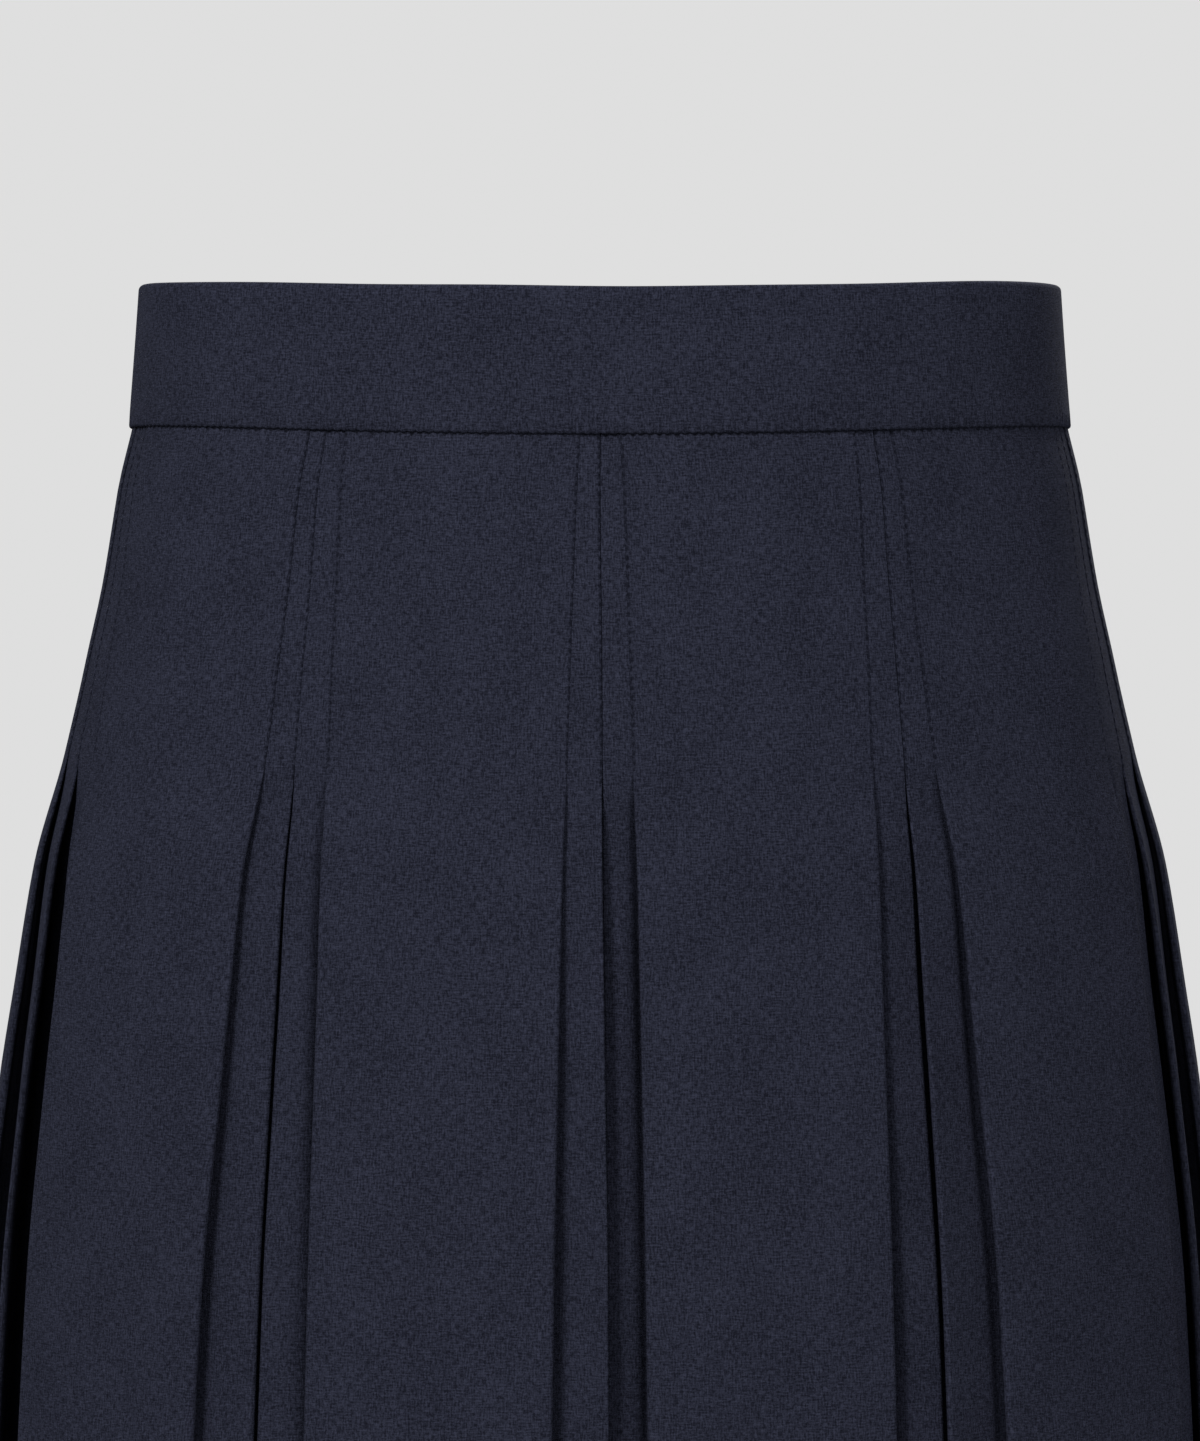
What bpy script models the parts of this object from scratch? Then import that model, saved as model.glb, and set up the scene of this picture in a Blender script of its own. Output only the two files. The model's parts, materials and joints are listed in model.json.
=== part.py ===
"""Short pleated skirt, worn round an empty waist, as one closed solid for each cut piece.

Metres, +Z up. The front faces -Y and the viewer's right is +X. The origin is the middle of the
waist at half the height of the waistband. Lengths below are millimetres and MM turns them into
metres. A place on the cloth is a fall below the waist seam, a distance round the figure from the
middle of the front (positive towards +X) and a depth behind the outermost layer.
"""

from collections import namedtuple
from math import pi, sqrt

import bpy
import numpy as np
from mathutils import Vector

MM = 0.001

# Waistband
BAND_HEIGHT = 40.0
BAND_WALL = 3.0
BAND_PROUD = 0.6  # the band's outer face in front of the panels'
BAND_TAPER = 14.0  # girth lost from the seam to the top edge
BAND_SPANS = 90
BAND_FALLS = (-40.0, -20.0, 0.0)
WAIST_DIP = 5.2  # the waist's front and back lie this much below its sides

# Skirt
SKIRT_LENGTH = 410.0
CLOTH = 1.0
WAIST_SEAM = 0.35  # gap between the band and what hangs from it
BACK_SEAM = 0.35  # gap between the two backs
BAND_OPENING = 1.6  # gap between the band's ends, for the slider's neck
FOLD_CUT = 90.5  # cloth in half a group at the waist: four tucks and three shown widths
MIDDLE_EDGE = 0.7  # from a group's middle line to each fold that meets on it
FOLD_LIFT = 1.2  # how far the upper of those two folds stands in front of the lower
PANEL_SPANS = 4
CUT_FALLS = (0.0, 18.0, 41.0, 66.0, 90.0, 122.0, 152.0, 180.0, 235.0, 290.0, 350.0, 410.0)

# Zip
TAPE_WIDTH = 22.0
TAPE_WALL = 0.8
TAPE_SLOT = 2.6
TAPE_FALLS = (-39.0, -20.0, 0.0, 2.0, 18.0, 41.0, 66.0, 90.0, 122.0, 152.0)
SLIDER_HEIGHT = 10.0  # the pivot above the origin
SLIDER_BODY = Vector((9.0, 2.4, 12.0))
NECK = Vector((0.9, 0.0, 4.0))
NECK_HOLE = 0.85
PIVOT_OUT = 2.2  # from the band's outer face to the pivot
PULL_WALL = 1.2
PULL_LENGTH = 22.0
PULL_TOP = 4.6
PULL_BOTTOM = 7.0
PULL_SLOT = 1.6
PULL_CROTCH = 3.2
PIN_RADIUS = 0.5

# What shows at each fall: widths across a panel and across the strips of each kind of group, then
# the section's front-to-back over side-to-side, the front's distance from the origin and the
# spacing of the folded layers.
Row = namedtuple(
    "Row",
    "fall panel middle_left middle_right first_inner first_outer side_inner side_outer rear"
    " depth_ratio front layer",
)
ROWS = (
    Row(0.0, 64.2, 5.9, 5.9, 6.2, 5.4, 5.8, 5.6, 5.8, 0.624, 83.0, 1.35),
    Row(18.0, 64.9, 6.8, 6.9, 7.2, 6.1, 6.8, 6.6, 6.9, 0.629, 85.0, 1.35),
    Row(41.0, 64.9, 7.9, 7.5, 8.0, 6.9, 8.2, 8.0, 8.4, 0.636, 87.5, 1.35),
    Row(66.0, 65.3, 9.0, 8.1, 9.0, 8.0, 9.9, 9.9, 10.3, 0.643, 90.1, 1.35),
    Row(90.0, 65.3, 9.9, 8.8, 10.1, 9.4, 11.6, 12.0, 12.6, 0.650, 92.5, 1.40),
    Row(122.0, 66.0, 11.0, 10.1, 12.1, 12.5, 14.4, 14.6, 15.6, 0.662, 96.0, 1.75),
    Row(152.0, 66.1, 11.9, 10.6, 13.5, 13.7, 16.2, 16.4, 17.6, 0.671, 98.8, 2.05),
    Row(180.0, 66.5, 12.7, 10.9, 14.6, 14.6, 17.6, 17.8, 19.2, 0.680, 101.0, 2.25),
    Row(235.0, 67.2, 14.2, 11.4, 16.6, 16.7, 19.8, 20.0, 21.2, 0.700, 105.5, 2.55),
    Row(410.0, 69.0, 16.0, 13.5, 19.2, 19.4, 22.4, 22.6, 24.0, 0.740, 116.0, 3.00),
)

# The groups from the left back round the front to the right back: the columns of Row that hold
# the widths left and right of the middle line, and the strip whose fold lies on top there.
Group = namedtuple("Group", "left right over")
GROUPS = (
    Group("rear", "rear", "left"),
    Group("rear", "rear", "right"),
    Group("side_outer", "side_inner", "left"),
    Group("first_outer", "first_inner", "neither"),
    Group("middle_left", "middle_right", "left"),
    Group("first_inner", "first_outer", "right"),
    Group("side_inner", "side_outer", "right"),
    Group("rear", "rear", "left"),
    Group("rear", "rear", "right"),
)
SIDE_SEAM_LEFT = 2
SIDE_SEAM_RIGHT = 6

NAVY = (0.022, 0.025, 0.041)
TAPE_NAVY = (0.018, 0.020, 0.034)
METAL = (0.020, 0.021, 0.026)


def row_value(column, fall):
    """A column of ROWS at any fall."""
    return float(np.interp(fall, [row.fall for row in ROWS], [getattr(row, column) for row in ROWS]))


def girth_at(fall):
    """Length once round the outermost layer, worked out from the panels and strips that show."""
    shown = sum(row_value(group.left, fall) + row_value(group.right, fall) for group in GROUPS)
    return len(GROUPS) * row_value("panel", fall) + shown - taper_at(fall)


def taper_at(fall):
    """Girth lost above the waist seam."""
    return BAND_TAPER * max(-fall, 0.0) / BAND_HEIGHT


class Section:
    """The oval that the cloth follows at one fall."""

    def __init__(self, fall):
        ratio = row_value("depth_ratio", fall)
        squash = ((1 - ratio) / (1 + ratio)) ** 2
        self.girth = girth_at(fall)
        self.side = self.girth / (
            pi * (1 + ratio) * (1 + 3 * squash / (10 + sqrt(4 - 3 * squash)))
        )
        self.deep = self.side * ratio
        front = row_value("front", fall) - taper_at(fall) / (2 * pi)
        self.middle = self.deep - front
        self.fall = fall
        angles = np.linspace(-pi, pi, 1441)
        steps = np.hypot(
            np.diff(self.side * np.sin(angles)),
            np.diff(self.deep * np.cos(angles)),
        )
        lengths = np.concatenate([[0.0], np.cumsum(steps)])
        self.angles = angles
        self.lengths = (lengths / lengths[-1] - 0.5) * self.girth

    def point(self, along, depth):
        """The place at a distance round the figure and a depth behind the outermost layer."""
        angle = np.interp(along, self.lengths, self.angles)
        outward = Vector((np.sin(angle) / self.side, -np.cos(angle) / self.deep, 0.0))
        outward.normalize()
        top = waist_rise(angle) - BAND_HEIGHT / 2
        if self.fall <= 0:
            height = top - self.fall
        else:
            height = top + (-BAND_HEIGHT / 2 - SKIRT_LENGTH - top) * self.fall / SKIRT_LENGTH
        on_oval = Vector(
            (self.side * np.sin(angle), self.middle - self.deep * np.cos(angle), height)
        )
        return on_oval - outward * depth


def waist_rise(angle):
    """How far the waist stands above its lowest points, at the front and the back."""
    return WAIST_DIP * np.sin(angle) ** 2


def tuck_width(shown, fall):
    """Cloth hidden behind a panel's edge, what the cut leaves after the widths that show."""
    spread = row_value("panel", fall) - row_value("panel", 0.0)
    return (FOLD_CUT - spread / 2 - 3 * shown) / 4


def half_group(shown, tuck, lift):
    """Stations from a panel's edge to the group's middle: distance from it, layer, lift."""
    deep = shown + tuck
    edge = MIDDLE_EDGE
    return [
        (shown, 0, 0.0),
        (shown, 1, 0.0),
        (deep, 1, 0.0),
        (deep, 2, 0.0),
        (shown, 2, 0.0),
        (edge, 2, lift),
        (edge, 3, lift),
        (shown, 3, 0.0),
        (deep, 3, 0.0),
        (deep, 4, 0.0),
        (shown, 4, 0.0),
        (edge, 4, 0.0),
    ]


def panel_stations(start, end):
    """Stations across the flat of a panel, after its start."""
    return [(float(along), 0.0) for along in np.linspace(start, end, PANEL_SPANS + 1)[1:]]


def skirt_stations(fall):
    """All stations round the skirt at one fall, as lists of (along, depth) for each cut piece."""
    girth = girth_at(fall)
    layer = row_value("layer", fall)
    panel = row_value("panel", fall)
    lift = np.interp(fall, [90.0, 150.0], [0.3, FOLD_LIFT])
    round_waist = [(-girth / 2 + BACK_SEAM / 2, 0.0)]
    cuts = []
    middle = -girth / 2 + panel / 2
    for number, group in enumerate(GROUPS):
        left = row_value(group.left, fall)
        right = row_value(group.right, fall)
        left_tuck = tuck_width(left, fall)
        right_tuck = tuck_width(right, fall)
        middle += left
        behind = middle - left - left_tuck
        round_waist += panel_stations(round_waist[-1][0], behind)
        left_side = half_group(left, left_tuck, lift if group.over == "left" else 0.0)
        right_side = half_group(right, right_tuck, lift if group.over == "right" else 0.0)
        for index, (away, layers, raised) in enumerate(left_side):
            if number == SIDE_SEAM_LEFT and index == 3:
                cuts.append(len(round_waist))
            round_waist.append((middle - away, layers * layer - raised))
        for index, (away, layers, raised) in enumerate(reversed(right_side)):
            if number == SIDE_SEAM_RIGHT and index == len(right_side) - 3:
                cuts.append(len(round_waist))
            round_waist.append((middle + away, layers * layer - raised))
        round_waist.append((middle + right + right_tuck, 0.0))
        middle += right + panel
    end = girth / 2 - BACK_SEAM / 2
    round_waist += panel_stations(round_waist[-1][0], end)
    first, second = cuts
    return round_waist[:first], round_waist[first:second], round_waist[second:]


def material(name, colour, roughness, metallic=0.0):
    """A plain finish."""
    finish = bpy.data.materials.new(name)
    finish.use_nodes = True
    shader = finish.node_tree.nodes["Principled BSDF"]
    shader.inputs["Base Color"].default_value = (*colour, 1.0)
    shader.inputs["Roughness"].default_value = roughness
    shader.inputs["Metallic"].default_value = metallic
    return finish


def add_object(name, data, finish):
    """An object in the scene with its one finish."""
    made = bpy.data.objects.new(name, data)
    bpy.context.scene.collection.objects.link(made)
    data.materials.append(finish)
    return made


def cloth_sheet(name, rows, wall, finish, left_out=()):
    """A wall through a grid of points, thickened to both sides; left_out lists (row, column)."""
    across = len(rows[0])
    points = [point * MM for row in rows for point in row]
    faces = [
        (r * across + c, (r + 1) * across + c, (r + 1) * across + c + 1, r * across + c + 1)
        for r in range(len(rows) - 1)
        for c in range(across - 1)
        if (r, c) not in left_out
    ]
    mesh = bpy.data.meshes.new(name)
    mesh.from_pydata(points, [], faces)
    mesh.validate()
    made = add_object(name, mesh, finish)
    thick = made.modifiers.new("Wall", "SOLIDIFY")
    thick.thickness = wall * MM
    thick.offset = 0.0
    thick.use_even_offset = True
    return made


def waistband(finish):
    """The folded strip round the waist, open at the centre back."""
    depth = BAND_WALL / 2 - BAND_PROUD - CLOTH / 2
    rows = []
    for fall in BAND_FALLS:
        section = Section(fall)
        end = (section.girth - BAND_OPENING) / 2
        rows.append([section.point(along, depth) for along in np.linspace(-end, end, BAND_SPANS + 1)])
    return cloth_sheet("waistband", rows, BAND_WALL, finish)


def skirt_pieces(finish):
    """The two backs and the front, folded and hung from the band."""
    by_piece = ([], [], [])
    for fall in CUT_FALLS:
        section = Section(fall)
        drop = Vector((0.0, 0.0, WAIST_SEAM)) * (1 - fall / SKIRT_LENGTH)
        for rows, stations in zip(by_piece, skirt_stations(fall)):
            rows.append([section.point(along, depth) - drop for along, depth in stations])
    names = ("skirt_back_left", "skirt_front", "skirt_back_right")
    return [cloth_sheet(name, rows, CLOTH, finish) for name, rows in zip(names, by_piece)]


def zip_tape(finish):
    """The tape behind the centre back, slotted at the top round the slider's neck."""
    behind_band = BAND_WALL - BAND_PROUD - CLOTH / 2 + 0.3 + TAPE_WALL / 2
    behind_panel = CLOTH / 2 + 0.3 + TAPE_WALL / 2
    across = (-TAPE_WIDTH / 2, -TAPE_SLOT / 2, TAPE_SLOT / 2, TAPE_WIDTH / 2)
    rows = []
    for fall in TAPE_FALLS:
        depth = np.interp(fall, [2.0, 18.0], [behind_band, behind_panel])
        section = Section(fall)
        half = section.girth / 2
        round_back = [half + place if place < 0 else place - half for place in across]
        rows.append([section.point(along, depth) for along in round_back])
    return cloth_sheet("zip_tape", rows, TAPE_WALL, finish, left_out=((0, 1),))


def box(name, size, centre, finish=None):
    """A plain box."""
    bpy.ops.mesh.primitive_cube_add(size=1.0, location=centre * MM)
    made = bpy.context.object
    made.name = name
    made.scale = size * MM
    bpy.ops.object.transform_apply(location=False, rotation=False, scale=True)
    if finish:
        made.data.materials.append(finish)
    return made


def rod(name, radius, length, centre):
    """A round bar along X."""
    bpy.ops.mesh.primitive_cylinder_add(
        vertices=24,
        radius=radius * MM,
        depth=length * MM,
        location=centre * MM,
        rotation=(0.0, pi / 2, 0.0),
    )
    made = bpy.context.object
    made.name = name
    bpy.ops.object.transform_apply(location=False, rotation=True, scale=False)
    return made


def combine(body, other, operation):
    """Join a helper to a body, or cut it out of it, and drop the helper."""
    step = body.modifiers.new(operation.title(), "BOOLEAN")
    step.operation = operation
    step.object = other
    step.solver = "EXACT"
    bpy.context.view_layer.objects.active = body
    bpy.ops.object.modifier_apply(modifier=step.name)
    bpy.data.objects.remove(other)


def pivot_place():
    """The pull's pivot, outside the band's ends."""
    section = Section(-BAND_HEIGHT / 2 - SLIDER_HEIGHT)
    surface = section.point(section.girth / 2, -BAND_PROUD - CLOTH / 2)
    return Vector((0.0, surface.y + PIVOT_OUT, SLIDER_HEIGHT))


def zip_slider(pivot, finish):
    """The slider's body behind the tape and the neck that holds the pull."""
    behind_tape = BAND_WALL + 0.3 + TAPE_WALL + 0.5 + PIVOT_OUT
    body_middle = Vector((0.0, pivot.y - behind_tape - SLIDER_BODY.y / 2, pivot.z))
    slider = box("zip_slider", SLIDER_BODY, body_middle, finish)
    inner = body_middle.y
    outer = pivot.y + NECK.z / 2
    size = Vector((NECK.x, outer - inner, NECK.z))
    neck = box("neck", size, Vector((0.0, (inner + outer) / 2, pivot.z)))
    combine(slider, neck, "UNION")
    combine(slider, rod("hole", NECK_HOLE, 3.0, pivot), "DIFFERENCE")
    return slider


def zip_pull(pivot, finish):
    """The tab that hangs from a pin through the neck, its origin on the pin's axis."""
    top = PULL_TOP / 2
    bottom = PULL_BOTTOM / 2
    slot = PULL_SLOT / 2
    reach = PIN_RADIUS + 0.8
    outline = [(-top, reach), (-slot, reach), (-slot, -PULL_CROTCH), (slot, -PULL_CROTCH)]
    outline += [(slot, reach), (top, reach), (top, -PULL_CROTCH)]
    low = bottom - PULL_LENGTH
    for step in range(13):
        turn = pi * step / 12
        outline.append((bottom * float(np.cos(turn)), low - bottom * float(np.sin(turn))))
    outline.append((-top, -PULL_CROTCH))
    curve = bpy.data.curves.new("zip_pull", "CURVE")
    curve.dimensions = "2D"
    curve.fill_mode = "BOTH"
    curve.extrude = PULL_WALL * MM / 2
    spline = curve.splines.new("POLY")
    spline.points.add(len(outline) - 1)
    for point, (across, up) in zip(spline.points, outline):
        point.co = (across * MM, up * MM, 0.0, 1.0)
    spline.use_cyclic_u = True
    drawn = bpy.data.objects.new("drawn", curve)
    bpy.context.scene.collection.objects.link(drawn)
    bpy.context.view_layer.update()
    flat = bpy.data.meshes.new_from_object(drawn.evaluated_get(bpy.context.evaluated_depsgraph_get()))
    bpy.data.objects.remove(drawn)
    pull = add_object("zip_pull", flat, finish)
    for vertex in flat.vertices:
        across, up, out = vertex.co
        vertex.co = (across, -out, up)
    weld = pull.modifiers.new("Weld", "WELD")
    weld.merge_threshold = 1e-6
    bpy.context.view_layer.objects.active = pull
    bpy.ops.object.modifier_apply(modifier=weld.name)
    combine(pull, rod("pin", PIN_RADIUS, PULL_TOP - 0.6, Vector((0.0, 0.0, 0.0))), "UNION")
    pull.location = pivot * MM
    return pull


def main():
    """Build every piece."""
    for old in list(bpy.data.objects):
        bpy.data.objects.remove(old)
    waistband(material("band cloth", NAVY, 0.85))
    for piece in skirt_pieces(material("skirt cloth", NAVY, 0.85)):
        piece.data.materials[0] = piece.data.materials[0].copy()
        piece.data.materials[0].name = f"{piece.name} cloth"
    zip_tape(material("zip tape", TAPE_NAVY, 0.8))
    pivot = pivot_place()
    zip_slider(pivot, material("slider metal", METAL, 0.4, 0.8))
    zip_pull(pivot, material("pull metal", METAL, 0.35, 0.8))


main()
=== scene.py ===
"""The looks of a short pleated skirt in fine navy wool, worn round an empty waist.

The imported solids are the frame. Each cut piece is made again here as a thin shell with soft folds
on the same sections, then sewn, dressed and lit. A place on the cloth is a fall below the waist
seam, a distance round the figure from the middle of the front (positive towards +X) and a depth
behind the outermost layer, all in millimetres. Meshes are in metres.
"""

from __future__ import annotations

import json
import logging
import math
from collections import namedtuple
from dataclasses import dataclass, field
from enum import Enum
from typing import Callable, Iterable, Sequence, Union

import bpy
import numpy as np
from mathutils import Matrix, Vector

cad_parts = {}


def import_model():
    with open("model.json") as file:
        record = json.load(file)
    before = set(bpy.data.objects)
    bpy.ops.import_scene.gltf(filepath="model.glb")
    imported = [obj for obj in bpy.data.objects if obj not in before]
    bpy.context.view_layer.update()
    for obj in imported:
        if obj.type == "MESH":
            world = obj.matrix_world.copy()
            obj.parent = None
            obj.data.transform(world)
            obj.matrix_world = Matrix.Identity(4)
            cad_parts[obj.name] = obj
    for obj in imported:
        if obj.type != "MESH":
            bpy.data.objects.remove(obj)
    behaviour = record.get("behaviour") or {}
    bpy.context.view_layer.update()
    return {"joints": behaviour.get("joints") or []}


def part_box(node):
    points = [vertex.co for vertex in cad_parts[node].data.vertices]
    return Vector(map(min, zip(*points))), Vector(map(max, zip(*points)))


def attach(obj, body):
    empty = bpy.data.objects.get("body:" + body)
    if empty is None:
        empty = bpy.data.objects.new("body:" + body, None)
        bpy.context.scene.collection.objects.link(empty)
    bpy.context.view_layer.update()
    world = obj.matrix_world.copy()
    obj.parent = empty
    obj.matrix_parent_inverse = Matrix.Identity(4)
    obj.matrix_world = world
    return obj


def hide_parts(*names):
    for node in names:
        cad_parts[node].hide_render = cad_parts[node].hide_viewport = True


LOG = logging.getLogger("skirt")
MM = 0.001
BODY = "garment"
PULL_BODY = "pull"

BAND_HEIGHT = 40.0
BAND_WALL = 3.0
BAND_PROUD = 0.6
BAND_TAPER = 14.0
BAND_OPENING = 1.2
WAIST_DIP = 5.2
SKIRT_LENGTH = 410.0
SOLID_CLOTH = 1.0
FOLD_CUT = 90.5

# What shows at each fall: widths across a panel and across the strips of each kind of group, then
# the section's front-to-back over side-to-side and the front's distance from the origin.
Row = namedtuple(
    "Row",
    "fall panel middle_left middle_right first_inner first_outer side_inner side_outer rear"
    " depth_ratio front",
)
ROWS = (
    Row(0.0, 64.2, 5.9, 5.9, 6.2, 5.4, 5.8, 5.6, 5.8, 0.624, 83.0),
    Row(18.0, 64.9, 6.8, 6.9, 7.2, 6.1, 6.8, 6.6, 6.9, 0.629, 85.0),
    Row(41.0, 64.9, 7.9, 7.5, 8.0, 6.9, 8.2, 8.0, 8.4, 0.636, 87.5),
    Row(66.0, 65.3, 9.0, 8.1, 9.0, 8.0, 9.9, 9.9, 10.3, 0.643, 90.1),
    Row(90.0, 65.3, 9.9, 8.8, 10.1, 9.4, 11.6, 12.0, 12.6, 0.650, 92.5),
    Row(122.0, 66.0, 11.0, 10.1, 12.1, 12.5, 14.4, 14.6, 15.6, 0.662, 96.0),
    Row(152.0, 66.1, 11.9, 10.6, 13.5, 13.7, 16.2, 16.4, 17.6, 0.671, 98.8),
    Row(180.0, 66.5, 12.7, 10.9, 14.6, 14.6, 17.6, 17.8, 19.2, 0.680, 101.0),
    Row(235.0, 67.2, 14.2, 11.4, 16.6, 16.7, 19.8, 20.0, 21.2, 0.700, 105.5),
    Row(410.0, 69.0, 16.0, 13.5, 19.2, 19.4, 22.4, 22.6, 24.0, 0.740, 116.0),
)

# How the folded layers open: their spacing, the depth of an upper fold's crown, the gap beside a
# middle line where neither fold is on top, how far an upper fold laps over that line, how deep the
# lower and the upper strip are sunk, how far a strip dips to its panel's edge and rolls under it.
Opening = namedtuple("Opening", "fall spacing crown gap lap sunk sunk_upper dip roll")
OPENINGS = (
    Opening(0.0, 0.20, 0.38, 0.02, 0.0, 0.0, 0.0, 0.0, 0.0),
    Opening(90.0, 0.20, 0.38, 0.02, 0.0, 0.0, 0.0, 0.0, 0.0),
    Opening(97.0, 0.55, 0.75, 0.16, 0.05, 0.30, 0.0, 0.10, 0.50),
    Opening(106.0, 0.95, 0.92, 0.32, 0.15, 1.20, 0.05, 0.30, 1.20),
    Opening(122.0, 1.35, 1.00, 0.44, 0.28, 2.10, 0.10, 0.50, 1.70),
    Opening(152.0, 1.80, 1.00, 0.56, 0.50, 2.80, 0.45, 0.80, 2.30),
    Opening(235.0, 2.22, 0.95, 0.62, 0.85, 3.50, 1.60, 1.10, 2.80),
    Opening(410.0, 2.60, 1.00, 0.95, 1.20, 3.80, 2.00, 1.30, 3.00),
)


class Over(Enum):
    """The strip whose fold lies on top at a group's middle line."""

    LEFT = "left"
    RIGHT = "right"
    NEITHER = "neither"


Group = namedtuple("Group", "left right over")
GROUPS = (
    Group("rear", "rear", Over.LEFT),
    Group("rear", "rear", Over.RIGHT),
    Group("side_outer", "side_inner", Over.LEFT),
    Group("first_outer", "first_inner", Over.NEITHER),
    Group("middle_left", "middle_right", Over.LEFT),
    Group("first_inner", "first_outer", Over.RIGHT),
    Group("side_inner", "side_outer", Over.RIGHT),
    Group("rear", "rear", Over.LEFT),
    Group("rear", "rear", Over.RIGHT),
)
SIDE_SEAM_LEFT = 2
SIDE_SEAM_RIGHT = 6
LAST_LEFT_GROUP = 3
FIRST_RIGHT_GROUP = 5

# Soft creases and swells: where each runs, how wide it is, how far it stands out
# (negative for a trough) and how far it drifts sideways from its start to its end. One that ends
# at the lasting fall or below it goes on to the hem at the height that it has at its peak.
LASTING_FALL = 400.0
LASTING_PEAK = 0.55
CREASE_FADE = 1.2
Crease = namedtuple("Crease", "start end along width height drift")
CREASES = (
    Crease(4.0, 70.0, -112.0, 11.0, -0.55, 9.0),
    Crease(8.0, 120.0, -128.0, 15.0, 0.60, -6.0),
    Crease(0.0, 60.0, -52.0, 9.0, -0.30, -4.0),
    Crease(10.0, 110.0, -30.0, 14.0, 0.35, 5.0),
    Crease(0.0, 55.0, 38.0, 9.0, -0.28, 3.0),
    Crease(20.0, 130.0, 52.0, 15.0, 0.35, -5.0),
    Crease(2.0, 80.0, 104.0, 10.0, -0.50, -7.0),
    Crease(12.0, 120.0, 130.0, 18.0, 1.00, 8.0),
    Crease(0.0, 16.0, -101.0, 8.0, -0.45, -2.0),
    Crease(150.0, 400.0, -50.0, 17.0, 0.80, 4.0),
    Crease(120.0, 400.0, -34.0, 13.0, -0.60, -4.0),
    Crease(140.0, 400.0, 44.0, 16.0, -0.70, 5.0),
    Crease(170.0, 400.0, 62.0, 14.0, 0.70, 3.0),
    Crease(110.0, 400.0, -140.0, 17.0, -1.10, -9.0),
    Crease(110.0, 400.0, 150.0, 18.0, -0.70, 8.0),
    Crease(5.0, 90.0, -205.0, 14.0, -0.60, -6.0),
    Crease(5.0, 90.0, 210.0, 14.0, -0.55, 7.0),
    Crease(120.0, 400.0, -232.0, 19.0, 1.20, -8.0),
    Crease(120.0, 400.0, 238.0, 18.0, 1.10, 9.0),
    Crease(0.0, 70.0, -290.0, 12.0, -0.50, 5.0),
    Crease(0.0, 80.0, 300.0, 13.0, -0.50, -4.0),
    Crease(140.0, 400.0, -330.0, 20.0, -1.10, -7.0),
    Crease(130.0, 400.0, 336.0, 18.0, -1.00, 6.0),
    Crease(150.0, 400.0, -418.0, 20.0, 1.00, -4.0),
    Crease(150.0, 400.0, 410.0, 20.0, 0.90, 5.0),
)

# A slow swell of the whole cloth: how far it goes, the falls between which it grows, where its
# waves start and how long they are round the figure, down it and aslant. Near the centre back all
# relief dies away.
SWAY = 0.7
SWAY_GROWS = (90.0, 380.0)
SWAY_START = 0.6
SWAY_ROUND = 41.0
SWAY_DOWN = 95.0
SWAY_ASLANT = 160.0
BACK_FLAT = 28.0


class SmoothColumn:
    """A column of a table as a smooth curve that never overshoots its rows."""

    def __init__(self, rows: Sequence[tuple], column: str) -> None:
        """Read the column.

        Args:
            rows: the table's rows, each with a fall.
            column: the name of the column.
        """
        self.falls = np.array([row.fall for row in rows])
        self.values = np.array([getattr(row, column) for row in rows])
        steps = np.diff(self.values) / np.diff(self.falls)
        before, after = steps[:-1], steps[1:]
        product = before * after
        total = np.where(np.abs(before + after) < 1e-12, 1.0, before + after)
        inner = np.where(product > 0, 2 * product / total, 0.0)
        self.slopes = np.concatenate([[steps[0]], inner, [steps[-1]]])

    def at(self, fall: float) -> float:
        """The value at a fall."""
        fall = min(max(fall, self.falls[0]), self.falls[-1])
        index = min(int(np.searchsorted(self.falls, fall, side="right")) - 1, len(self.falls) - 2)
        width = self.falls[index + 1] - self.falls[index]
        t = (fall - self.falls[index]) / width
        return float(
            self.values[index] * (1 + 2 * t) * (1 - t) ** 2
            + self.values[index + 1] * t * t * (3 - 2 * t)
            + self.slopes[index] * width * t * (1 - t) ** 2
            + self.slopes[index + 1] * width * t * t * (t - 1)
        )


SIZES = {name: SmoothColumn(ROWS, name) for name in Row._fields[1:]}
OPEN = {name: SmoothColumn(OPENINGS, name) for name in Opening._fields[1:]}


def smooth_step(low: float, high: float, value: np.ndarray) -> np.ndarray:
    """A soft step from 0 at low to 1 at high."""
    t = np.clip((value - low) / (high - low), 0.0, 1.0)
    return t * t * (3 - 2 * t)


def eased(low: float, high: float, value: float) -> float:
    """The soft step of one number."""
    return float(smooth_step(low, high, np.array(value)))


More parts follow.
